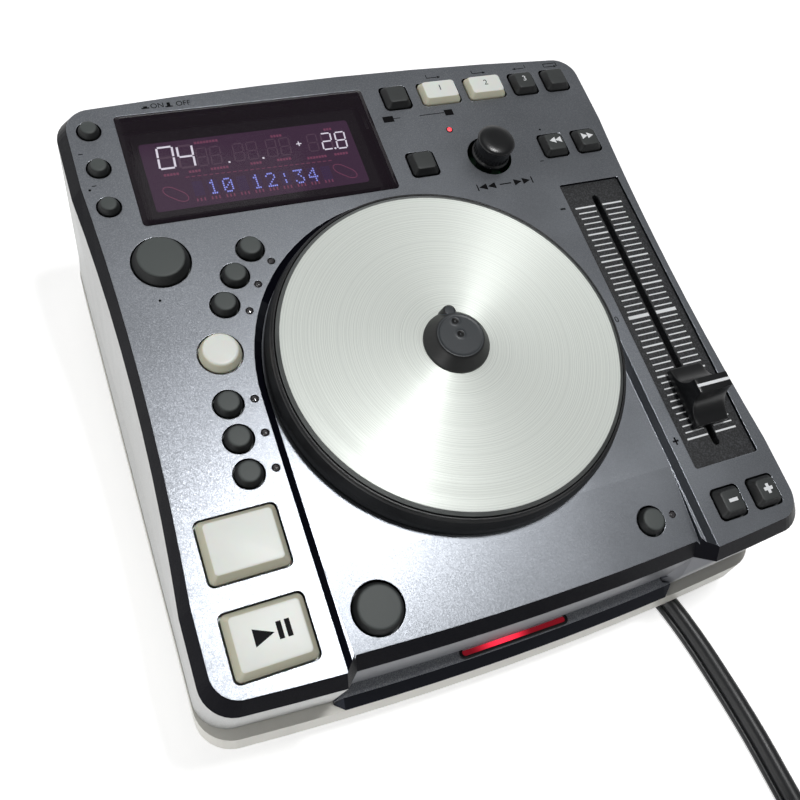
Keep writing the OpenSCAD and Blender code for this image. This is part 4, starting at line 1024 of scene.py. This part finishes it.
def grown(name, tree, finish_name, body="console", place=DECK, smooth=32, stands_for=(),
          **values):
    """Runs a tree on an empty mesh with its inputs set, and keeps the result as a piece."""
    values["Material"] = FINISH[finish_name]
    holder = bpy.data.objects.new(name + "_holder", bpy.data.meshes.new(name + "_holder"))
    SCENE.collection.objects.link(holder)
    modifier = holder.modifiers.new("grow", "NODES")
    modifier.node_group = tree
    for item in tree.interface.items_tree:
        if item.in_out == "INPUT" and item.name in values:
            modifier[item.identifier] = values[item.name]
    graph = bpy.context.evaluated_depsgraph_get()
    mesh = bpy.data.meshes.new_from_object(holder.evaluated_get(graph))
    holder.modifiers.clear()
    bpy.data.objects.remove(holder)
    return piece(name, shape_of(mesh), finish_name, body, place, smooth, stands_for)


def where(tree):
    """The X, Y and Z of each point."""
    return separate(tree, node(tree, "GeometryNodeInputPosition").outputs[0])

# %% Grooved plate
tree, given = geometry_tree("turned_plate", Inner_Radius=8.5, Outer_Radius=58.8, Bevel=0.2,
                            Groove_Pitch=0.8, Groove_Depth=0.012, Rings=390, Spokes=161,
                            Top=PLATE_TOP)
grid = node(tree, "GeometryNodeMeshGrid", {
    "Size X": 1.0, "Size Y": 1.0, "Vertices X": given["Rings"], "Vertices Y": given["Spokes"]})
share = maths(tree, "ADD", where(tree)["X"], 0.5)
span = maths(tree, "SUBTRACT", given["Outer Radius"], given["Inner Radius"])
radius = maths(tree, "MULTIPLY_ADD", share, span, given["Inner Radius"])
angle = maths(tree, "MULTIPLY", where(tree)["Y"], 2 * math.pi)
wave = maths(tree, "SINE", maths(tree, "MULTIPLY", 2 * math.pi, maths(
    tree, "DIVIDE", radius, given["Groove Pitch"])))
groove = maths(tree, "MULTIPLY", wave, given["Groove Depth"])
bevel_start = maths(tree, "SUBTRACT", given["Outer Radius"], given["Bevel"])
past = maths(tree, "MAXIMUM", 0.0, maths(tree, "SUBTRACT", radius, bevel_start))
height = maths(tree, "SUBTRACT", maths(tree, "ADD", given["Top"], groove),
               maths(tree, "MULTIPLY", past, 0.45))
wrapped = combine(tree, maths(tree, "MULTIPLY", radius, maths(tree, "COSINE", angle)),
                  maths(tree, "MULTIPLY", radius, maths(tree, "SINE", angle)), height)
turned = node(tree, "GeometryNodeSetPosition", {
    "Geometry": grid.outputs["Mesh"], "Position": wrapped}).outputs[0]
end_tree(tree, given, node(tree, "GeometryNodeMergeByDistance", {
    "Geometry": turned, "Distance": 0.001}).outputs[0])
PLATE_AT = DECK @ Matrix.Translation((*JOG_AT, 0))
grown("jog_plate_top", tree, "jog_metal", "jog", PLATE_AT, 60, ("jog_plate",))
edge = revolve([(58.8, 9.42), (60, 8.95), (60.1, 8.75), (60.1, RIM), (8.5, RIM),
                (8.5, PLATE_TOP)], segments=160)
piece("jog_plate_edge", edge, "jog_rim", "jog", PLATE_AT)

# %% [markdown]
# The cap's top isn't quite flat: two dimples are pressed into it. A fine polar mesh carries
# them as geometry. The nub at the rim is a small tapered peg.

# %% Cap, dimples and nub
CAP_TOP = 14.78
CAP_SUNK = CAP_TOP - 0.12
cap_profile = rounded_profile(
    [(0, CAP_SUNK), (7.2, CAP_SUNK), (7.5, CAP_TOP), (8.2, CAP_TOP), (11.5, 10.4),
     (11.5, PLATE_TOP), (8.3, PLATE_TOP), (8.3, RIM), (0, RIM)], [0.4, 0.2, 0.9, 0.4, 0, 0, 0])
inner = [(0.2 * i, CAP_SUNK) for i in range(35)]
cap_points, cap_faces = revolve(inner + cap_profile[1:], JOG_AT, 96)
DIMPLES = [(JOG_AT[0] + 0.2, JOG_AT[1] + 0.4), (JOG_AT[0] + 0.1, JOG_AT[1] + 5.4)]


def pressed(p):
    """Lowers a point of the cap's top into a dimple, and raises the dimple's rim a little."""
    if p[2] < 14:
        return p
    away = [math.dist(p[:2], d) for d in DIMPLES]
    depth = sum(0.45 * math.exp(-((a / 0.75) ** 2))
                - 0.12 * math.exp(-(((a - 1.35) / 0.4) ** 2)) for a in away)
    return (p[0], p[1], p[2] - depth)


nub = revolve(rounded_profile([(0, 14.2), (2.2, 14.2), (3, PLATE_TOP), (0, PLATE_TOP)], [0.8, 0]),
              (JOG_AT[0], JOG_AT[1] + 9.9), 48)
piece("jog_cap_rubber", join(([pressed(p) for p in cap_points], cap_faces), nub), "jog_rubber",
      "jog", stands_for=("jog_cap",))

# %% [markdown]
# ## The push encoder
# Its knob is a satin dome with a crisp rim above a ribbed skirt. The ribs go round in equal
# steps, so a Geometry Nodes tree puts one rib on each point of a circle.

# %% Encoder knob
KNOB_AT = (48, 168.2)
knob_profile = rounded_profile(
    [(0, 10.4), (4.4, 10.25), (6.7, 9.6), (7.35, 8.8), (7.35, 8.3), (7.05, 7.9), (6.8, 2.4),
     (7.5, 1.5), (7.5, 0.6), (3.1, 0.6), (3.1, 7.2), (0, 7.2)],
    [2, 1.2, 0.3, 0.15, 0.3, 0.6, 0.3, 0.2, 0, 0])
piece("encoder_knob_body", revolve(knob_profile, KNOB_AT, 96), "knob_black", "encoder_knob",
      stands_for=("encoder_knob",))

# %% Ribs of the knob
def copies(tree, points, thing, **how):
    """A thing on each point."""
    inputs = {"Points": points, "Instance": thing, **how}
    return node(tree, "GeometryNodeInstanceOnPoints", inputs).outputs[0]


tree, given = geometry_tree("ribs_on_circle", Count=30, Radius=6.75, Rib_Width=0.5,
                            Rib_Depth=0.7, Rib_Height=2.2, Middle=3.3)
circle = node(tree, "GeometryNodeMeshCircle", {
    "Vertices": given["Count"], "Radius": given["Radius"]}).outputs[0]
rib = node(tree, "GeometryNodeMeshCube", {"Size": combine(
    tree, given["Rib Depth"], given["Rib Width"], given["Rib Height"])}).outputs["Mesh"]
turn = combine(tree, z=maths(tree, "ARCTAN2", where(tree)["Y"], where(tree)["X"]))
raised = node(tree, "GeometryNodeTranslateInstances", {
    "Instances": copies(tree, circle, rib, Rotation=turn),
    "Translation": combine(tree, z=given["Middle"]), "Local Space": False})
end_tree(tree, given, raised.outputs[0])
grown("encoder_ribs", tree, "knob_black", "encoder_knob",
      DECK @ Matrix.Translation((*KNOB_AT, 0)), 20)

# %% [markdown]
# ## The pitch fader
# The cap sweeps up from a long foot to a narrow ridge with a white line. On the plate, forty-one
# strokes stand each side of the slot, longer and heavier at every fifth. A tree draws them.

# %% Fader cap
FADER_X, SCALE_MIDDLE, FADER_REST = 84.8, 88.6, -35.8
FADER_S = SCALE_MIDDLE + FADER_REST


def fader_cap_shape():
    """Slices across the cap's length, each a rounded outline of its own height."""
    half_w, foot, ridge, height, low = 7.0, 11.5, 2.7, 12.0, 2.2
    side = [(-foot, 0.3), (-foot, low), (-foot + 0.3, low + 0.25)]
    for i in range(1, 13):
        t = i / 12
        s = -(ridge + (foot - ridge) * (1 - t) ** 2)
        side.append((s, 0.3 + low + (height - low) * (0.12 * t + 0.88 * t * t) - 0.02))
    side += [(-ridge + 0.12, height + 0.22), (-ridge + 0.5, height + 0.3)]
    section = side + [(-s, n) for s, n in reversed(side)]
    points = []
    for x, shrink in ((-half_w, 0.35), (-half_w + 0.1, 0.12), (-half_w + 0.35, 0), (-5.5, 0),
                      (5.5, 0), (half_w - 0.35, 0), (half_w - 0.1, 0.12), (half_w, 0.35)):
        points += [(FADER_X + x, FADER_S + s * (1 - shrink / foot),
                    max(0.3, n - shrink if n > 1 else n)) for s, n in section]
    return loft(points, len(section))


piece("fader_cap_body", fader_cap_shape(), "knob_black", "fader", smooth=30,
      stands_for=("fader_cap",))
piece("fader_cap_line", prism(box(FADER_X - 6.9, FADER_S - 0.55, FADER_X + 6.9, FADER_S + 0.55),
                              12.2, 12.38), "print_white", "fader")

# %% Scale strokes
tree, given = geometry_tree("scale_strokes", Count=41, Step=2.5, Length=8.0, Width=0.5,
                            Long_Extra=1.0, Heavy=1.45, Thickness=0.05)
down = combine(tree, y=maths(tree, "MULTIPLY", given["Step"], -1.0))
row = node(tree, "GeometryNodeMeshLine", {"Count": given["Count"], "Offset": down},
           mode="OFFSET").outputs[0]
number = node(tree, "GeometryNodeInputIndex").outputs[0]
fifth = maths(tree, "COMPARE", maths(tree, "MODULO", number, 5.0), 0.0, 0.1)
middle = maths(tree, "COMPARE", number, 20.0, 0.1)
unit = node(tree, "GeometryNodeMeshCube", {"Size": (1, 1, 1)}).outputs["Mesh"]
length = maths(tree, "MULTIPLY_ADD", fifth, given["Long Extra"], given["Length"])
weight = maths(tree, "ADD", 1.0, maths(tree, "MULTIPLY_ADD", fifth, 0.35, maths(
    tree, "MULTIPLY", middle, given["Heavy"])))
size = combine(tree, length, maths(tree, "MULTIPLY", given["Width"], weight), given["Thickness"])
end_tree(tree, given, copies(tree, row, unit, Scale=size))
for name, x in (("scale_left", 78.6), ("scale_right", 90.95)):
    grown(name, tree, "print_white", place=DECK @ Matrix.Translation(
        (x, SCALE_MIDDLE + 50, -0.99)), smooth=20)

# %% [markdown]
# ## The display
# Under the lens lies a glass with rows of lamps: a wide pair of figures, four smaller groups, a
# row of dots that can form signs, and small fixed marks. Lit ones glow, and the others stay
# faintly visible. The lens is five millimetres thick, so a mark that appears at one place on the
# lens really lies further from the eye; a short sum along the line of sight finds it.

# %% Figures of the display
EYE = Vector((-119.172, -19.753, 259.797))  # the camera, in deck millimetres
GLASS = -4.96


def on_glass(points):
    """The outline on the glass that is seen through the lens at these points."""
    t = -GLASS / EYE.z
    return [(x + (x - EYE.x) * t, s + (s - EYE.y) * t) for x, s in points]


def stroke(p, q, half, cut=0.0):
    """A straight stroke on the glass, cut short at both ends."""
    along = (q - p).normalized()
    p, q = p + along * cut, q - along * cut
    across = Vector((-along.y, along.x)) * half
    return on_glass([tuple(c) for c in (p + across, p - across, q - across, q + across)])


def figure_strokes(x, s, w, h, lean, thick):
    """The seven strokes of a lamp figure whose lower left corner is at x and s."""
    def at(u, v):
        return Vector((x + u * w + v * lean, s + v * h))
    ends = {"a": ((0, 1), (1, 1)), "b": ((1, 1), (1, 0.5)), "c": ((1, 0.5), (1, 0)),
            "d": ((0, 0), (1, 0)), "e": ((0, 0.5), (0, 0)), "f": ((0, 1), (0, 0.5)),
            "g": ((0, 0.5), (1, 0.5))}
    return {key: stroke(at(*p), at(*q), thick / 2, 0.3) for key, (p, q) in ends.items()}


LIT = {"0": "abcdef", "2": "abged", "4": "fgbc", "8": "abcdefg", " ": ""}
DISPLAY = [("0", -76.2, 182.1, 5.4, 9.2, 0.75), ("4", -69.1, 181.5, 5.2, 9.4, 0.75)]
DISPLAY += [(" ", x, 181.3, 3.6, 7.6, 0.4)
            for x in (-62.8, -57.9, -49.5, -44.5, -37.2, -32.1, -21.4)]
DISPLAY += [("2", -16.0, 181.3, 3.7, 7.3, 0.55), ("8", -10.5, 181.0, 3.7, 7.4, 0.55)]
bright, faint = [], []
for sign, x, s, w, h, thick in DISPLAY:
    for key, outline in figure_strokes(x, s, w, h, 0.7, thick).items():
        (bright if key in LIT[sign] else faint).append(outline)
POINTS = [(x, s, x + 0.7, s + 0.7) for x, s in ((-52.1, 181), (-39.6, 180.8), (-11.9, 180.9))]
PLUS = [(-25.6, 185.2, -23.6, 185.6), (-24.8, 184.4, -24.4, 186.4)]
bright += [on_glass(box(*corners)) for corners in POINTS + PLUS]


def lamps(name, outlines, finish_name):
    """A layer of lamps on the glass, each outline turned counter-clockwise first."""
    shapes = []
    for o in outlines:
        area = sum(a[0] * b[1] - b[0] * a[1] for a, b in zip(o, o[1:] + o[:1]))
        shapes.append(prism(o if area > 0 else o[::-1], GLASS - 0.03, GLASS + 0.03))
    piece(name, join(*shapes), finish_name, smooth=20)


lamps("display_figures_lit", bright, "digit_lit")
lamps("display_figures_faint", faint, "digit_dim")

# %% Dots of the display
DOT_SIGNS = {" ": "00000 " * 7,
             "0": "01110 10001 10011 10101 11001 10001 01110",
             "1": "00100 01100 00100 00100 00100 00100 01110",
             "2": "01110 10001 00001 00010 00100 01000 11111",
             "3": "11111 00010 00100 00010 00001 10001 01110",
             "4": "00010 00110 01010 10010 11111 00010 00010",
             ":": "00000 00100 00100 00000 00100 00100 00000"}
CELL = 5.22
dots_lit, dots_dim = [], []
for cell, sign in enumerate(" 10 12:34 "):
    x0, s0 = -67.0 + CELL * cell, 175.0 - 0.13 * cell
    for line, bits in enumerate(DOT_SIGNS[sign].split()):
        for column, bit in enumerate(bits):
            x, s = x0 + 0.72 * column, s0 - 0.9 * line
            (dots_lit if bit == "1" else dots_dim).append(on_glass(box(x, s - 0.62, x + 0.5, s)))
lamps("display_dots_lit", dots_lit, "dot_lit")
lamps("display_dots_faint", dots_dim, "dot_dim")

# %% Marks, tracks and glow
boxes = [(-68.5 + 2.1 * i, 177.2 - 0.05 * i, -67.2 + 2.1 * i, 177.5 - 0.05 * i)
         for i in range(26)]
for i in range(10):
    for k in range(3):
        x = -67 + CELL * i + 1.3 * k
        boxes.append((x, 166.6, x + 0.5, 167.9))
UNLIT_WORDS = [
    (-75.6, 178.8, 5.6), (-66.8, 178.9, 4.6), (-59, 178.9, 7.6), (-44.6, 178.9, 5.4),
    (-34.6, 178.9, 6.6), (-23.4, 177.9, 8.6), (-12.8, 178, 6.4), (-13.4, 189.8, 4), (-62, 191, 9),
    (-34, 189.7, 5.4)]
for x, s, w in UNLIT_WORDS:
    boxes += [(x + 1.1 * i, s, x + 1.1 * i + 0.8, s + 1.0) for i in range(int(w / 1.1))]


def track(x, s):
    """The outline of a race track that leans to the right, as thin strokes."""
    loop = []
    for i in range(28):
        a = 2 * math.pi * i / 28
        u, v = 3.3 * math.cos(a) + (1.4 if math.cos(a) > 0 else -1.4), 2.0 * math.sin(a)
        loop.append(Vector((x + u * 0.78 + v * 0.62, s - u * 0.62 + v * 0.78)))
    return [stroke(p, q, 0.13) for p, q in zip(loop, loop[1:] + loop[:1])]


small = [on_glass(box(*corners)) for corners in boxes]
lamps("display_marks_faint", small + track(-73.5, 170.9) + track(-11.2, 170.6), "label_dim")
glow = on_glass([(x - 42.4, s + 179) for x, s in rounded_outline(78, 29, 1.2)])
piece("display_glass_glow", prism(glow, GLASS - 0.06, GLASS - 0.02), "glass_glow",
      smooth=20)

# %% [markdown]
# ## The back
# Cross-head screws hold the rear panel, and more of them hold the tray from below. One head is a
# low cone with two crossed slots cut out of it. The tree puts a head on each corner of a grid and
# turns each a little further, because screws never stop at the same angle.

# %% Screws
tree, given = geometry_tree("screws_on_corners", Across=166.0, Up=31.0, Head_Radius=2.6,
                            Top_Radius=1.9, Head_Height=1.3, Slot_Width=0.8, Slot_Length=2.7)
head = node(tree, "GeometryNodeMeshCone", {
    "Vertices": 32, "Radius Top": given["Top Radius"], "Radius Bottom": given["Head Radius"],
    "Depth": given["Head Height"]})
cut = node(tree, "GeometryNodeMeshBoolean", {"Mesh 1": head.outputs["Mesh"]},
           operation="DIFFERENCE")
for long_way, short_way in (("Slot Length", "Slot Width"), ("Slot Width", "Slot Length")):
    slot_size = combine(tree, given[long_way], given[short_way], given["Head Height"])
    block = node(tree, "GeometryNodeMeshCube", {"Size": slot_size}).outputs["Mesh"]
    raised = node(tree, "GeometryNodeTransform", {
        "Geometry": block, "Translation": combine(tree, z=given["Head Height"])})
    feed(tree, cut, Mesh_2=raised.outputs[0])
corners = node(tree, "GeometryNodeMeshGrid", {
    "Size X": given["Across"], "Size Y": given["Up"], "Vertices X": 2, "Vertices Y": 2})
index = node(tree, "GeometryNodeInputIndex").outputs[0]
turn = combine(tree, z=maths(tree, "MULTIPLY", index, 0.9))
end_tree(tree, given, copies(tree, corners.outputs["Mesh"], cut.outputs["Mesh"], Rotation=turn))
REAR = facing_back(0, 210, 46)
UNDERSIDE = PLAN @ Matrix.Translation((0, -FRONT_Y, 9)) @ Matrix.Rotation(math.pi, 4, "X")
grown("rear_screws", tree, "steel", place=REAR)
grown("tray_screws", tree, "steel", place=UNDERSIDE, Across=150.0, Up=150.0)
REAR_MARKS = (("1", 34, -6.5), ("2", 12, -6.5), ("3", -14, -6.5), ("4", -34, -6.5),
              ("ON", -70, 9), ("OFF", -70, -9.5))
piece("rear_figures", join(*[figures(text, 4.2, (x, up), PRINT_LOW, 0.04, math.pi)
                             for text, x, up in REAR_MARKS]), "print_white", place=REAR, smooth=20)

# %% [markdown]
# ## Printed marks on the deck
# The deck is printed in black. Its lettering here is kept to signs that any player could carry:
# zero, plus and minus beside the fader, arrows for searching, loops above the memory keys, and
# ON and OFF beside the two signs for a pressed and a released switch.

# %% Deck print
def loop_arrow(x, s, flip=1, closed=False):
    """A small bracket that ends in an arrow head."""
    out = [box(x - 3, s - 0.15, x + 2.2, s + 0.15),
           box(x - 3 * flip - 0.15, s, x - 3 * flip + 0.15, s + 1.6)]
    if closed:
        out += [box(x + 3, s, x + 3.3, s + 1.6), box(x - 3, s + 1.5, x + 3.3, s + 1.8)]
    return out + [wedge(x + 2.4 * flip, s, 1.4 * flip, 1.1)]


printed("fader_signs", [box(67, 138.5, 69.2, 139.3), box(67.5, 38.7, 69.9, 39.4),
                        box(68.35, 39.4, 69.05, 40.5), box(68.35, 37.6, 69.05, 38.7)])
printed("search_signs", [
    box(37.1, 152.9, 37.6, 155.9), wedge(39.6, 154.4, -3.4, 2.9), wedge(43.3, 154.4, -3.4, 2.9),
    box(46.8, 154.15, 51.8, 154.65), wedge(54.8, 154.4, 3.4, 2.9), wedge(58.5, 154.4, 3.4, 2.9),
    box(60.7, 152.9, 61.2, 155.9)])
printed("loop_signs", loop_arrow(39.2, 209.2) + loop_arrow(59.6, 209)
        + loop_arrow(78.4, 209, -1) + loop_arrow(93.2, 208.3, 1, True))
printed("memory_line", [box(26.6, 191.2, 37.2, 191.5), box(37.4, 189.8, 41, 192.6),
                        box(11.2, 190, 15.6, 192.8), box(15.6, 191.3, 18.4, 191.6)])
printed("switch_signs", [box(-76.4, 209.2, -73.6, 209.7), box(-75.7, 209.7, -74.3, 210.3),
                         box(-67.9, 208.9, -65.3, 209.4), box(-67.2, 209.4, -66, 211)])
piece("fader_zero", figures("0", 3.4, (68.4, 88.8)), "print_black", smooth=20)
piece("switch_words", join(figures("ON", 3.1, (-70.7, 210)), figures("OFF", 3.1, (-61.3, 209.9))),
      "print_black", smooth=20)
DASHES = [(-101.7, 192.4), (-100, 178.6), (68.2, 162)]
DOTS = [(-101, 177.3), (-88.5, 130.6), (74.6, 177.2)]
printed("small_signs", [box(x, s, x + 1.5, s + 0.35) for x, s in DASHES]
        + [rounded_outline(0.9, 0.9, 0.44, at) for at in DOTS])

# %% [markdown]
# ## Lamps beside the keys
# Each lamp is a clear dome in a tight black collar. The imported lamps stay; collars are added so
# that each one reads as a dark ring with a glint. One lamp, near the encoder, burns red.

# %% Lamp collars
BURNING = (36.3, 182.9)
LAMPS = [(-48.8, 138.2), (-55.7, 130.2), (-61.3, 120.9), (-68.4, 89.6), (-68.4, 77.6),
         (-68.4, 65.5), (56.7, 15.7), BURNING]
collars = []
for x, s in LAMPS:
    level = RECESS_FLOOR if s < 30 else 0
    profile = [(r, level + n) for r, n in (
        (1.38, 0.02), (1.3, 0.1), (1.2, -0.1), (1.2, -1.6), (1.38, -1.6), (1.38, 0.02))]
    collars.append(revolve(profile, (x, s), 24))
piece("lamp_collars", join(*collars), "inner_black")
dome = revolve([(0, 0.46), (0.5, 0.42), (0.9, 0.28), (0.95, 0.1), (0, 0.1)], BURNING, 24)
piece("lamp_burning", dome, "led_burning")
